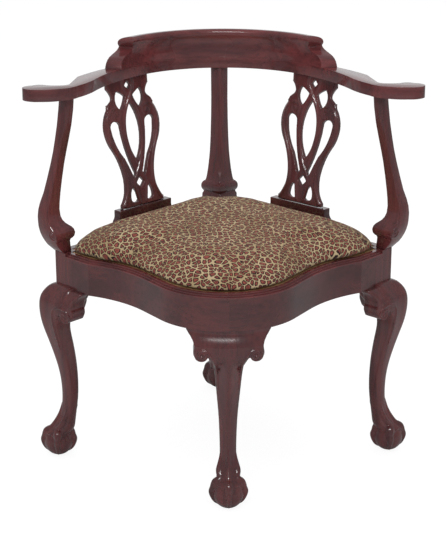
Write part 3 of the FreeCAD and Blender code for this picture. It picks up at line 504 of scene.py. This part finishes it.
def make_cushion():
    pad = copy_of("seat_cushion", "leopard_cushion")
    take(pad)
    bpy.ops.transform.resize(value=(1.018, 1.018, 1), center_override=(0, SEAT_Y * MM, 0))
    apply_place(pad)
    stuffing = []
    for side in (1, -1):
        notch = (side * (LEG_CORNER - POST_INSET), SEAT_Y, 0)
        stuffing.append(corner_stuffing(notch, 90 + side * 135))
        stuffing.append(corner_stuffing(notch, 90 + side * 45))
        stuffing.append(corner_stuffing((0, LEG_CORNER - POST_INSET + SEAT_Y, 0), -90 + side * 45))
    piece = merged("leopard_cushion", [pad] + stuffing)
    modify(piece, "REMESH", mode="VOXEL", voxel_size=VOXEL * MM, adaptivity=0)
    # The crown rises towards the back, and the lower edge spreads to the mouldings.
    low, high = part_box("seat_cushion")
    for vertex in piece.data.vertices:
        share = (vertex.co.z - low.z) / (high.z - low.z)
        back = (vertex.co.y - low.y) / (high.y - low.y)
        vertex.co.z += share * (2 + 10 * back) * MM
        flare = 1 + 0.016 * max(0.0, 1 - share / 0.4)
        vertex.co.x *= flare
        vertex.co.y = SEAT_Y * MM + (vertex.co.y - SEAT_Y * MM) * flare
    blown_up(piece, low.z)
    modify(piece, "SMOOTH", factor=0.5, iterations=14)
    modify(piece, "SUBSURF", levels=1, render_levels=1)
    take(piece)
    bpy.ops.object.shade_smooth()
    lay_out_cover(piece, low, high)
    return show(piece, LEOPARD, "slip_seat", ("seat_cushion",))


def lay_out_cover(piece, low, high):
    """Flat map of the cover: its plan, let out along the sides as the cloth hangs over them."""
    middle = (low + high) / 2
    layout = piece.data.uv_layers.new(name="cover")
    shoulder = high.z - 10 * MM
    spots = []
    for vertex in piece.data.vertices:
        out = Vector((vertex.co.x - middle.x, vertex.co.y - middle.y))
        drop = max(0.0, shoulder - vertex.co.z)
        share = 1 + drop * 0.8 / max(out.length, 0.05)
        spots.append(out * share + Vector((0.9, 0.9)))
    for loop in piece.data.loops:
        layout.data[loop.index].uv = spots[loop.vertex_index]


make_cushion()


# Legs: cabriole shaft, ball and four talons, worked into one carved surface

# Turn of each leg's outward diagonal from +X, and the distance of its corner from the seat centre
LEG_PLACES = {
    "right": (0, LEG_CORNER), "back": (90, LEG_CORNER), "left": (180, LEG_CORNER),
    "front": (-90, FRONT_CORNER),
}
LEG_RINGS = [
    # height, outer and inner edge from the leg's corner along its diagonal, fullness of the sides
    (44, 24, -16, 0.98), (56, 22, -26, 0.97), (66, 15.5, -28, 0.95), (78, 7, -29.5, 0.93),
    (92, 0.4, -31.4, 0.93), (118, -3.6, -35.4, 0.93), (145, -3.6, -37.2, 0.91), (172, -1.4, -37, 0.88),
    (198, 4, -35.6, 0.85), (222, 10.8, -33, 0.82), (246, 18.4, -29.4, 0.80), (264, 24.6, -26, 0.79),
    (282, 30.6, -24, 0.78), (300, 34.4, -28, 0.77), (317, 36.2, -43, 0.76), (335, 35.8, -60, 0.755),
    (350, 31, -67, 0.75), (363, 19.5, -69, 0.745), (374, 4, -70, 0.74),
]
BALL = (7, 0, 29)
BALL_RADIUS = 29.6


def leg_matrix(where):
    turn, reach = LEG_PLACES[where]
    outwards = Matrix.Rotation(math.radians(turn), 4, "Z")
    return Matrix.Translation((0, SEAT_Y * MM, 0)) @ outwards @ Matrix.Translation((reach * MM, 0, 0))


def move_ring(before, after):
    """Move and stretch the selected ring from one leg ring to the next."""
    half_before, half_after = (before[1] - before[2]) / 2, (after[1] - after[2]) / 2
    middle = (after[1] + after[2]) / 2
    shift = middle - (before[1] + before[2]) / 2
    bpy.ops.transform.translate(value=(shift * MM, 0, (after[0] - before[0]) * MM))
    grow = half_after / half_before
    bpy.ops.transform.resize(value=(grow, grow, 1), center_override=(middle * MM, 0, after[0] * MM))


def leg_cage(rings):
    """Eight-sided cage of a cabriole shaft, its corners on the diagonals."""
    clear_selection()
    first = rings[0]
    middle, half = (first[1] + first[2]) / 2, (first[1] - first[2]) / 2
    bpy.ops.mesh.primitive_circle_add(vertices=8, radius=half * MM, fill_type="NGON",
                                      location=(middle * MM, 0, first[0] * MM))
    cage = apply_place(named("shaft"))
    edit(cage)
    for before, after in zip(rings, rings[1:]):
        bpy.ops.mesh.extrude_region_move()
        move_ring(before, after)
    done()
    # Corners and sides are set so that the smoothed section comes out at the wanted size.
    for number, vertex in enumerate(cage.data.vertices):
        height, outer, inner, full = rings[number // 8]
        middle, half = (outer + inner) / 2 * MM, (outer - inner) / 2 * MM
        out = Vector((vertex.co.x - middle, vertex.co.y))
        corner = min(abs(out.x), abs(out.y)) < 0.2 * half
        reach = half * ((0.667 - 0.2357 * full) if corner else (0.667 * full - 0.2357)) / 0.3893
        out = out.normalized() * reach
        vertex.co.x, vertex.co.y = middle + out.x, out.y
    edit(cage)
    bpy.ops.mesh.normals_make_consistent(inside=False)
    done()
    return modify(cage, "SUBSURF", levels=3, render_levels=3)


# Knuckles and claw of a talon: angle above the ball's equator, reach from its centre, radius
TALON = [
    (66, 31.5, 7.2), (54, 32, 8.6), (42, 32.2, 9.4), (31, 32, 7.6), (20, 31.6, 6.0), (9, 31.6, 7.2),
    (-2, 31.4, 6.2), (-14, 31, 4.8), (-27, 30.6, 4.2), (-40, 30.2, 3.2), (-52, 29.6, 1.6),
]
# Tendons over the ankle that the talons grow from: outwards, inwards and to the sides
TENDONS = {
    0: [(-4, 0, 112, 2.5), (-1.5, 0, 96, 4.4), (4, 0, 82, 5.4), (10, 0, 71, 6)],
    90: [(-15, 12, 112, 2.5), (-13, 12.5, 96, 4.4), (-8, 15.5, 82, 5.4), (-2, 19, 70, 6)],
    180: [(-32, 0, 108, 2.5), (-27, 0, 94, 4.4), (-23, 0, 80, 5.6), (-20, 0, 66, 6.6)],
    270: [(-15, -12, 112, 2.5), (-13, -12.5, 96, 4.4), (-8, -15.5, 82, 5.4), (-2, -19, 70, 6)],
}


def talon(turn):
    points, radii = [], []
    for x, y, z, radius in TENDONS[turn]:
        points.append((x, y, z))
        radii.append(radius)
    slim = 0.84 if turn == 0 else 1.0          # the front talon is the slimmest
    for angle, reach, radius in TALON:
        lift, round_ball = math.radians(angle), math.radians(turn)
        flat = reach * math.cos(lift)
        points.append((BALL[0] + flat * math.cos(round_ball), flat * math.sin(round_ball),
                       BALL[2] + reach * math.sin(lift)))
        radii.append(radius * slim)
    return swept("talon", points, radii)


def foot_web():
    """Skin over the top of the ball, cut in an arch between each two talons."""
    clear_selection()
    bpy.ops.mesh.primitive_uv_sphere_add(segments=40, ring_count=24, radius=(BALL_RADIUS + 3.2) * MM,
                                         location=[c * MM for c in BALL])
    web = apply_place(named("web"))
    levelled(web, 34)
    far = BALL_RADIUS + 6
    for turn in (45, 135, 225, 315):
        clear_selection()
        spot = (BALL[0] + far * math.cos(math.radians(turn)), far * math.sin(math.radians(turn)), BALL[2] + 3)
        bpy.ops.mesh.primitive_uv_sphere_add(segments=32, ring_count=16, radius=21 * MM,
                                             location=[c * MM for c in spot])
        cut(web, apply_place(named("hollow")))
    return web


# Scrolled bead of a knee, from its stop on the leg's edge up and round the volute to the eye:
# distance along the rail from the leg's corner or middle, and height
VOLUTE = [
    (53.4, 305), (45.6, 307), (41, 313), (42.2, 320.4), (47.5, 324), (53.2, 322.8), (55.4, 317),
    (52, 313.6), (48.6, 315.8),
]
SIDE_BEAD = [
    (18, 238), (18.4, 246), (16.4, 264), (15.4, 284), (15, 299), (15.5, 312), (18, 322.5), (25, 330),
    (36, 333.5), (48, 332), (57, 327), (62, 319), (60.5, 309.6),
] + VOLUTE
FRONT_BEAD = [
    (19.5, 238), (20.6, 252), (21.4, 272), (23.6, 295), (28.4, 310), (34.7, 320.5), (41.7, 326.8),
    (50, 329.4), (57.5, 326.8), (62.2, 319.2), (60.6, 309.8),
] + VOLUTE
# Right half of the front knee, seen from the front, from the rail down and in to the leg
KNEE_EDGE = [
    (79, 366), (78, 361), (73.6, 354), (69.4, 349), (65.6, 342.5), (63.8, 335), (64.2, 329), (65.6, 323),
    (65.4, 316.5), (62.6, 310), (58, 305.6), (52.6, 303.8), (47.2, 304.8), (43, 308.4), (39.6, 314),
    (36, 311.5), (32, 304), (28, 294), (24, 280),
]
# Section of the front knee's swelling, out from the leg's corner and height
KNEE_SECTION = [
    (6, 366), (31, 366), (29.4, 362), (28.8, 359), (29.4, 355.5), (31.8, 351.5), (34.6, 347.5),
    (37, 343.5), (38.8, 339), (39.6, 334), (39.4, 327), (38.2, 319), (35.8, 311.5), (32, 304), (26, 296),
    (17, 288), (6, 282),
]
NOSE_AXIS = -116.0       # front leg's corner to the axis of the rounded front, along the diagonal
BEAD_RISE = 1.1          # bead's middle above the carved skin
# Where a bracket ends against its leg, along the rail, and how far it is cut behind its face
KNEE_ROOT = {"side": 24, "front": 20}
KNEE_BEHIND = {"side": 31, "front": 80}


def knee_frame(front, side):
    """Frame of a bracket: x along its rail, y up, z out of its face."""
    along, out = ((0, side, 0), (1, 0, 0)) if front else ((-1, side, 0), (1, side, 0))
    axes = [Vector(along).normalized(), Vector((0, 0, 1)), Vector(out).normalized()]
    return Matrix([[axis[row] for axis in axes] + [0] for row in range(3)] + [[0, 0, 0, 1]])


def draped(skin, place, path):
    """Points of a path, drawn on a bracket's face, laid on the carved skin; in mm."""
    towards = place.to_3x3() @ Vector((0, 0, -1))
    spots, depth = [], 0.1
    for along, height in path:
        start = place @ Vector((along * MM, height * MM, 0.12))
        hit, spot, _, _ = skin.ray_cast(start, towards)
        if hit:
            depth = (spot - start).length
        spots.append((start + towards * (depth - BEAD_RISE * MM)) / MM)
    return spots


def front_knee():
    """The front knee's swelling, turned about the axis of the rounded front and sawn to its outline."""
    swelling = turned("front_knee", KNEE_SECTION, (NOSE_AXIS, 0))
    edge = KNEE_EDGE + [(-y, z) for y, z in reversed(KNEE_EDGE)]
    return cut(swelling, board("edge", [(-40, y, z) for y, z in edge], 120), "INTERSECT")


def knee_parts(front):
    """The swelling beside one leg, in the leg's own frame."""
    if front:
        return [front_knee()]
    parts = []
    for name in ("front", "back"):
        bracket = copy_of("left_knee_bracket_" + name, "bracket")
        bracket.matrix_world = leg_matrix("left").inverted()
        parts.append(apply_place(bracket))
    return parts


def carve_leg(front):
    """A leg with its brackets as one carved surface, then sawn apart at the brackets' roots."""
    rings = LEG_RINGS[:-1] if front else LEG_RINGS
    skin = merged("skin", [leg_cage(rings)] + knee_parts(front))
    skin = carved(skin, 1.3, 10)
    parts = [skin, foot_web()]
    clear_selection()
    bpy.ops.mesh.primitive_uv_sphere_add(segments=48, ring_count=28, radius=BALL_RADIUS * MM,
                                         location=[c * MM for c in BALL])
    parts.append(apply_place(named("ball")))
    parts += [talon(turn) for turn in (0, 90, 180, 270)]
    for side in (1, -1):
        path = FRONT_BEAD if front else SIDE_BEAD
        spots = draped(skin, knee_frame(front, side), path)
        radii = [1.2, 1.9] + [2.1] * (len(path) - 8) + [2.0, 1.9, 1.8, 1.8, 2.0, 2.6]
        parts.append(swept("bead", spots, radii, sides=2))
    whole = carved(merged("carved_leg", parts), 1.15, 2)
    levelled(whole, 0)
    if front:
        levelled(whole, RAIL_BOTTOM - 0.2, keep_below=True)
    return sawn(whole, "front" if front else "side")


def sawn(whole, kind):
    """The leg and its two brackets, cut from the whole."""
    bottom, reach = RAIL_BOTTOM - 63, 80
    root, behind = KNEE_ROOT[kind], KNEE_BEHIND[kind]
    pieces = {0: whole}
    for side in (1, -1):
        saw = block("saw", knee_frame(kind == "front", side), (root, root + reach), (bottom, bottom + 90),
                    (-behind, reach))
        bracket = duplicate(whole.data, "bracket")
        pieces[side] = modify(bracket, "BOOLEAN", object=saw, operation="INTERSECT", solver="EXACT")
        cut(whole, saw)
    for piece in pieces.values():
        smooth(piece, 50)
    return pieces


def block(name, place, *spans):
    """A square block, given by its lowest and highest x, y and z in mm in the frame of its place."""
    clear_selection()
    middle = [(low + high) / 2 * MM for low, high in spans]
    size = [(high - low) * MM for low, high in spans]
    bpy.ops.mesh.primitive_cube_add(size=1, location=middle, scale=size)
    piece = apply_place(named(name))
    piece.matrix_world = place
    return closed_up(apply_place(piece))


def leg_block(side, bottom, top):
    """Square block over the knee, one corner on the leg's corner."""
    clear_selection()
    bpy.ops.mesh.primitive_cube_add(size=1, rotation=(0, 0, math.radians(45)),
                                    location=(-side / math.sqrt(2) * MM, 0, (bottom + top) / 2 * MM),
                                    scale=(side * MM, side * MM, (top - bottom) * MM))
    return modify(apply_place(named("block")), "BEVEL", width=0.5 * MM, segments=2)


def leg_head(where):
    """The blocks over a leg's knee, and the lips that carry the rails' outer edges on over them."""
    blocks = [leg_block(50, RAIL_BOTTOM - 1, RAIL_TOP - 16)]
    if where in ("left", "right"):
        blocks.append(leg_block(30, RAIL_TOP - 17, RAIL_TOP))
        for side, name in KNEES[where].items():
            top = RAIL_TOP - (8.5 if name == "front" else 0)
            blocks.append(block("lip", knee_frame(False, side), (30, 51), (RAIL_TOP - 16, top), (-15, 0)))
    for piece in blocks:
        piece.matrix_world = leg_matrix(where)
        apply_place(piece)
    return blocks


# Names of the brackets on the two sides of each leg
KNEES = {
    "left": {1: "front", -1: "back"}, "right": {1: "back", -1: "front"}, "back": {1: "left", -1: "right"},
    "front": {1: "right", -1: "left"},
}


def placed_copy(master, name, where):
    piece = duplicate(master.data, name)
    piece.matrix_world = leg_matrix(where)
    return apply_place(piece)


def make_legs():
    for front, places in ((False, ("left", "right", "back")), (True, ("front",))):
        masters = carve_leg(front)
        for where in places:
            shaft = placed_copy(masters[0], "leg", where)
            leg = merged("carved_" + where + "_leg", [shaft] + leg_head(where))
            show(leg, LEG, stands_for=(where + "_leg",))
            for side, name in KNEES[where].items():
                node = f"{where}_knee_bracket_{name}"
                show(placed_copy(masters[side], "carved_" + node, where), LEG, stands_for=(node,))
        for master in masters.values():
            bpy.data.objects.remove(master)


make_legs()


# Splats: a pierced board under rounded bars, the two inner straps crossing over and under

SPLAT_BOTTOM = 486.0     # where the shoe and the arm hide it
SPLAT_TOP = 742.0
# Right half of a splat's bars, x from its middle and y up from its shoe, both in mm
OUTER_BAR = [
    (53, 4), (45, 18), (37, 36), (35.5, 56), (39, 80), (47, 104), (58, 126), (66.5, 146), (69, 163),
    (66.6, 184), (60, 197), (51, 204), (41.5, 205), (32.8, 201), (28.6, 192.5), (30.4, 184), (36.8, 178.6),
    (44, 179.4), (49, 184.6), (49.2, 190.8), (45, 195), (40.2, 193.4), (39.4, 189),
]
# Radii of the bar: the strap, its taper into the scroll, and the scroll's eye
OUTER_RADII = [4.4] * 8 + [4.3, 4.2, 3.9, 3.5, 3.1, 2.9, 2.7, 2.6, 2.5, 2.4, 2.3, 2.3, 2.6, 3, 3.2]
INNER_BAR = [
    (-8, 4), (-13, 24), (-16, 44), (-10, 61), (0, 76), (10, 95), (19, 122), (23.6, 152), (19.6, 184),
    (9.5, 207), (0, 221), (-10, 236), (-15, 247), (-13, 262), (-9, 274),
]
CROSSINGS = (76, 221)    # heights at which the two inner bars cross
FOOT_BAR = [(8, 4), (20, 5.5), (31, 6), (41, 4.5)]
EAR_BAR = [(62, 203), (58, 212), (48, 218), (43, 227), (47, 238), (54, 247), (56, 262), (56, 274)]


def splat_frame():
    """Frame of the left splat: x along its rail to the left, y up the splat, z out of its back."""
    along = Vector((-1, -1, 0)).normalized()
    rise = (Vector((0, 0, 1)) + Vector((-1, 1, 0)).normalized() * 0.175).normalized()
    back = along.cross(rise)
    frame_matrix = Matrix([[along[row], rise[row], back[row], 0] for row in range(3)] + [[0, 0, 0, 1]])
    return Matrix.Translation((-159.8 * MM, (159.8 + SEAT_Y) * MM, 485 * MM)) @ frame_matrix


def bar(points, radius, depth, flip, over=None, under=None):
    """A rounded bar, its middle at a depth behind the splat's face; it may rise and sink at a height."""
    spots = []
    for x, y in points:
        z = depth
        if over:
            z += 1.4 * math.exp(-((y - under) / 13) ** 2) - 2.2 * math.exp(-((y - over) / 13) ** 2)
        spots.append((flip * x, y, z))
    return swept("bar", spots, radius, splat_frame())


def mirrored(piece, name):
    """A copy of a piece on the other side of the chair."""
    twin = duplicate(piece.data, name)
    edit(twin)
    bpy.ops.transform.mirror(constraint_axis=(True, False, False), orient_type="GLOBAL",
                             center_override=(0, 0, 0))
    bpy.ops.mesh.normals_make_consistent(inside=False)
    done()
    return twin


def make_splats():
    parts = [copy_of("left_splat", "splat_board")]
    for flip in (1, -1):
        under, over = CROSSINGS[::flip]
        parts.append(bar(INNER_BAR, 4.0, 2.4, flip, over, under))
        parts.append(bar(OUTER_BAR, OUTER_RADII, 1.6, flip))
        parts.append(bar(EAR_BAR, 3.4, 2.8, flip))
        parts.append(bar(FOOT_BAR, 3.6, 4.2, flip))
    splat = carved(merged("fretted_left_splat", parts), 1.0, 3, 0.4)
    levelled(splat, SPLAT_TOP, keep_below=True)
    levelled(splat, SPLAT_BOTTOM)
    twin = mirrored(splat, "fretted_right_splat")
    show(splat, UPRIGHT, stands_for=("left_splat",))
    show(twin, UPRIGHT, stands_for=("right_splat",))


make_splats()


# Arm supports: square in section, bowed out and ending in a roll above the leg

# Turn from a leg's diagonal to axes that run inwards along its two outer faces
SQUARE_ON = Matrix.Rotation(math.radians(135), 4, "Z")
# Height, outer edge and inner edge of a support's section, both from the leg's corner along its faces
SUPPORT = [
    (437, 0, 23), (450, -10.2, 22), (458, -14.2, 21.6), (461.5, -15.6, 22.6), (464, -16.6, 25.4),
    (468, -18, 28), (475, -19.9, 29.2), (482, -21.2, 27.6), (486.5, -21.8, 24.6), (490, -22.1, 20.6),
    (494, -22.3, 16.2), (500, -22.5, 12.4), (508, -22.6, 9.8), (522, -21.4, 8.7), (536, -18.6, 9.3),
    (555, -13.4, 10.8), (583.4, -7.7, 13.7), (613, -2.2, 17.2), (636, 1.6, 20.6), (660, 4.8, 24.4),
    (689, 8.3, 28.8), (720, 11, 32), (743, 12.75, 33.25),
]
# Spiral on a support's outer faces: distance from the leg's corner along the face, and height
SUPPORT_SPIRAL = [
    (7, 560), (5.4, 540), (5.4, 522), (7.6, 506), (12.5, 495), (19.5, 488), (25.6, 482), (27.4, 474.6),
    (25.6, 467.8), (20, 464.4), (13, 465), (8, 469.6), (7.4, 476.6), (11.6, 481.8), (17.4, 481.6),
    (21, 477.2), (20, 471.8), (15.8, 470.4), (13.4, 473.6),
]


def outer_face(height):
    for low, high in zip(SUPPORT, SUPPORT[1:]):
        if low[0] <= height <= high[0]:
            share = (height - low[0]) / (high[0] - low[0])
            return low[1] + (high[1] - low[1]) * share


def make_supports():
    rings = []
    for height, outer, inner in SUPPORT:
        corners = ((outer, outer), (inner, outer), (inner, inner), (outer, inner))
        rings.append([(a, b, height) for a, b in corners])
    shank = lofted("shank", rings)
    modify(shank, "BEVEL", width=1.3 * MM, segments=2, limit_method="ANGLE", angle_limit=math.radians(50))
    beads = []
    for swap in (False, True):
        spots = []
        for along, height in SUPPORT_SPIRAL:
            face = outer_face(height) - 0.1
            spots.append((face, along, height) if swap else (along, face, height))
        radii = [0.5, 0.9, 1.1] + [1.3] * (len(spots) - 5) + [1.5, 1.9]
        beads.append(swept("scroll", spots, radii, sides=2))
    support = merged("carved_left_arm_support", [shank] + beads)
    support.matrix_world = leg_matrix("left") @ SQUARE_ON
    smooth(apply_place(support), 35)
    twin = smooth(mirrored(support, "carved_right_arm_support"), 35)
    show(support, UPRIGHT, stands_for=("left_arm_support",))
    show(twin, UPRIGHT, stands_for=("right_arm_support",))


# Height and half side of the back post's section, and the chamfer on its front arris
POST = [
    (437, 27, 0.6), (461, 27, 0.6), (464, 26.7, 0.6), (468, 26.6, 0.6), (471, 26.2, 0.6), (473.5, 24.6, 0.6),
    (475.5, 24.3, 0.6), (477.5, 25.6, 0.6), (480, 27.1, 0.6), (483.5, 28.1, 0.6), (487, 28.3, 0.6),
    (490.5, 27.9, 0.6), (494, 26.7, 0.6), (496.8, 24.6, 0.6), (498.6, 22, 0.6), (501, 21, 0.6),
    (505, 20.2, 0.7), (512, 19.2, 1.5), (518, 18.5, 4), (524, 17.8, 6), (532, 17.1, 6.6), (548, 15.8, 6.6),
    (564, 14.8, 6.4), (595, 13.7, 6), (636, 12.9, 5.6), (677, 12.5, 5.4), (743, 12.75, 5.4),
]


def make_post():
    rings = []
    for height, half, chamfer in POST:
        centre = 25 - 7 * ((height - RAIL_TOP) / 306) ** 2       # the post leans outwards as it rises
        low, high = centre - half, centre + half
        rings.append([(low, low, height), (high, low, height), (high, high - chamfer, height),
                      (high - chamfer, high, height), (low, high, height)])
    post = lofted("turned_back_post", rings)
    modify(post, "BEVEL", width=1.1 * MM, segments=2, limit_method="ANGLE", angle_limit=math.radians(60))
    post.matrix_world = leg_matrix("back") @ SQUARE_ON
    show(smooth(apply_place(post), 40), UPRIGHT, stands_for=("back_post",))


make_supports()
make_post()


# Crest rail: turned about the bow's axis, its ends sawn to an ear over a long ogee

# Section of the rail: distance from the bow's axis, and height
CREST_SECTION = [
    (212, 766), (213.4, 771), (214.5, 779), (215, 789), (214.7, 797), (213.8, 803.5), (212.6, 808),
    (211.3, 811.6), (210.9, 814.8), (211.5, 818), (213.2, 820.6), (215.8, 822.3), (219, 823), (224, 822.8),
    (230, 822), (235.5, 820.7), (239.9, 818.4), (242.8, 815), (244.4, 810.6), (245.5, 800), (246.8, 783),
    (248, 766),
]
# Side view of the crest's end: distance along the bow from its tip, and height above the arm
CREST_END = [
    (0, -1), (0.6, 4), (4, 11), (10, 16.6), (18, 20.6), (28, 23.6), (38, 26.4), (46, 29.4), (51, 32.6),
    (53.6, 35.6), (53, 38), (50.4, 40.4), (48.4, 43.6), (47.6, 47.2), (48.2, 51), (50.4, 54), (54, 56.4),
    (60, 58.5),
]
CREST_TURN = 20.0        # degrees from the bow's middle line to the crest's tip
BOW_RADIUS = 230.0       # of the bow's middle line


def make_crest():
    crest = turned("turned_crest_rail", CREST_SECTION, steps=160)
    edit(crest)
    bpy.ops.mesh.bisect(plane_co=(0, 40 * MM, 0), plane_no=(0, 1, 0), clear_inner=True)
    done()
    closed_up(crest)
    for side in (1, -1):
        waste = CREST_END + [(60, 80), (-120, 80), (-120, -1)]
        saw = board("saw", [(-40, x, z) for x, z in waste], 80)
        tip = Matrix.Translation((BOW_RADIUS * MM, 0, ARM_TOP * MM))
        around = Matrix.Rotation(math.radians(CREST_TURN), 4, "Z")
        saw.matrix_world = Matrix.Scale(side, 4, (1, 0, 0)) @ around @ tip
        cut(crest, closed_up(apply_place(saw)))
    modify(crest, "BEVEL", width=1.6 * MM, segments=3, limit_method="ANGLE", angle_limit=math.radians(50))
    crest.location.y = BOW_Y * MM
    show(smooth(apply_place(crest), 35), ACROSS, stands_for=("crest_rail",))


make_crest()


# Arms and shoes: the cabinet-maker's eased edges; the frame's own pieces get their finishes

def make_arms_and_shoes():
    for part, width, segments, left_finish, right_finish in (
        ("arm", 3.0, 3, ACROSS, ACROSS), ("splat_shoe", 1.2, 2, CROSS_RIGHT_SHADED, CROSS_LEFT_SHADED),
    ):
        piece = eased("left_" + part, "worked_left_" + part, width, segments)
        twin = smooth(mirrored(piece, "worked_right_" + part))
        show(twin, right_finish, stands_for=("right_" + part,))
        show(piece, left_finish, stands_for=("left_" + part,))


def finish_for(node):
    """The finish of a CAD node that shows as it is, or None where a piece stands for it."""
    if "glue_block" in node or node.startswith("seat_frame"):
        return PLAIN
    return {
        "left_front_rail": CROSS_LEFT_SHADED, "right_front_rail": CROSS_RIGHT_SHADED, "left_back_rail": CROSS_RIGHT_SHADED,
        "right_back_rail": CROSS_LEFT_SHADED, "left_rail_moulding": ACROSS, "right_rail_moulding": ACROSS,
        "seat_webbing": WEBBING, "dust_cloth": CLOTH, "crest_screws": STEEL,
    }.get(node)


make_arms_and_shoes()
for node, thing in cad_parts.items():
    finish = finish_for(node)
    if finish:
        thing.data.materials.clear()
        thing.data.materials.append(finish)


# Floor, light and camera

# Lamp: place, size, power in watts, what it is aimed at, and whether the polish mirrors it
LAMPS = {
    "overhead": ((0, 0.2, 2.8), (1.6, 1.2), 34, (0, 0, 0.4), False),
    "key": ((-0.3, -2.0, 2.5), (1.5, 0.25), 26, (0, 0, 0.4), True),
    "backdrop": ((0, 3.2, 1.1), (5, 2.2), 15, (0, 0, 0.6), True),
    "left": ((-2.3, -1.4, 1.5), (0.8, 1.2), 5, (0, 0, 0.4), False),
    "right": ((2.3, -1.4, 1.5), (0.8, 1.2), 4, (0, 0, 0.4), False),
    "low": ((0.2, -2.4, 0.3), (2.4, 0.3), 8, (0, 0, 0.1), False),
}
# The photograph's view: what it looks at, its turn and pitch, how far off it is, and its focal
# length over the picture's height, both in pixels
LOOK_AT = Vector((-0.001235, -0.04675, 0.39311))
AZIMUTH, PITCH, DISTANCE = math.radians(1.9), math.radians(18.5), 2.92163
FOCAL_LENGTH, PICTURE_HEIGHT = 1473.5, 540
SENSOR = 36              # mm


def make_floor():
    """A floor that looks white to the camera and still takes the chair's shadow."""
    bpy.ops.mesh.primitive_plane_add(size=24, location=(0, 0, 0))
    floor = named("floor")
    paper = Finish("white_floor")
    seen = paper.node("ShaderNodeLightPath", {}, out="Is Camera Ray")
    mirrored_ray = paper.node("ShaderNodeLightPath", {}, out="Is Glossy Ray")
    shade = paper.blend(mirrored_ray, (0.9, 0.9, 0.9, 1), (0.3, 0.3, 0.3, 1))
    matt = paper.node("ShaderNodeBsdfDiffuse", {}, shade)
    glow = paper.node("ShaderNodeEmission", {}, (1, 1, 1, 1), 1.06)
    mix = paper.node("ShaderNodeMixShader", {}, seen * 0.86, matt, glow)
    floor.data.materials.append(paper.finished(mix.socket))


def make_world():
    """White to the camera, soft light on matt surfaces, and dim in the polish."""
    world = bpy.data.worlds.new("studio")
    bpy.context.scene.world = world
    world.use_nodes = True
    nodes, links = world.node_tree.nodes, world.node_tree.links
    nodes.clear()
    backdrop = nodes.new("ShaderNodeBackground")
    backdrop.inputs["Color"].default_value = (1, 1, 1, 1)
    dim = nodes.new("ShaderNodeBackground")
    dim.inputs["Color"].default_value = (0.96, 0.97, 1, 1)
    path = nodes.new("ShaderNodeLightPath")
    soft = nodes.new("ShaderNodeMapRange")
    soft.inputs["To Min"].default_value, soft.inputs["To Max"].default_value = 0.3, 0.72
    mix = nodes.new("ShaderNodeMixShader")
    output = nodes.new("ShaderNodeOutputWorld")
    links.new(path.outputs["Is Diffuse Ray"], soft.inputs["Value"])
    links.new(soft.outputs[0], dim.inputs["Strength"])
    links.new(path.outputs["Is Camera Ray"], mix.inputs[0])
    links.new(dim.outputs[0], mix.inputs[1])
    links.new(backdrop.outputs[0], mix.inputs[2])
    links.new(mix.outputs[0], output.inputs["Surface"])


def make_lamps():
    for name, (place, size, power, aim, shines) in LAMPS.items():
        light = bpy.data.lights.new(name, "AREA")
        light.shape, light.size, light.size_y = "RECTANGLE", size[0], size[1]
        light.energy = power
        holder = bpy.data.objects.new(name, light)
        bpy.context.scene.collection.objects.link(holder)
        holder.location = place
        holder.rotation_euler = (Vector(aim) - Vector(place)).to_track_quat("-Z", "Y").to_euler()
        holder.visible_camera = False
        holder.visible_glossy = shines


def make_camera():
    aim = Vector((math.sin(AZIMUTH) * math.cos(PITCH), math.cos(AZIMUTH) * math.cos(PITCH), -math.sin(PITCH)))
    lens = bpy.data.cameras.new("camera")
    lens.sensor_width = SENSOR
    lens.lens = SENSOR * FOCAL_LENGTH / PICTURE_HEIGHT
    holder = bpy.data.objects.new("camera", lens)
    bpy.context.scene.collection.objects.link(holder)
    holder.location = LOOK_AT - aim * DISTANCE
    holder.rotation_euler = aim.to_track_quat("-Z", "Y").to_euler()
    bpy.context.scene.camera = holder


make_floor()
make_world()
make_lamps()
make_camera()
bpy.context.scene.view_settings.view_transform = "Standard"
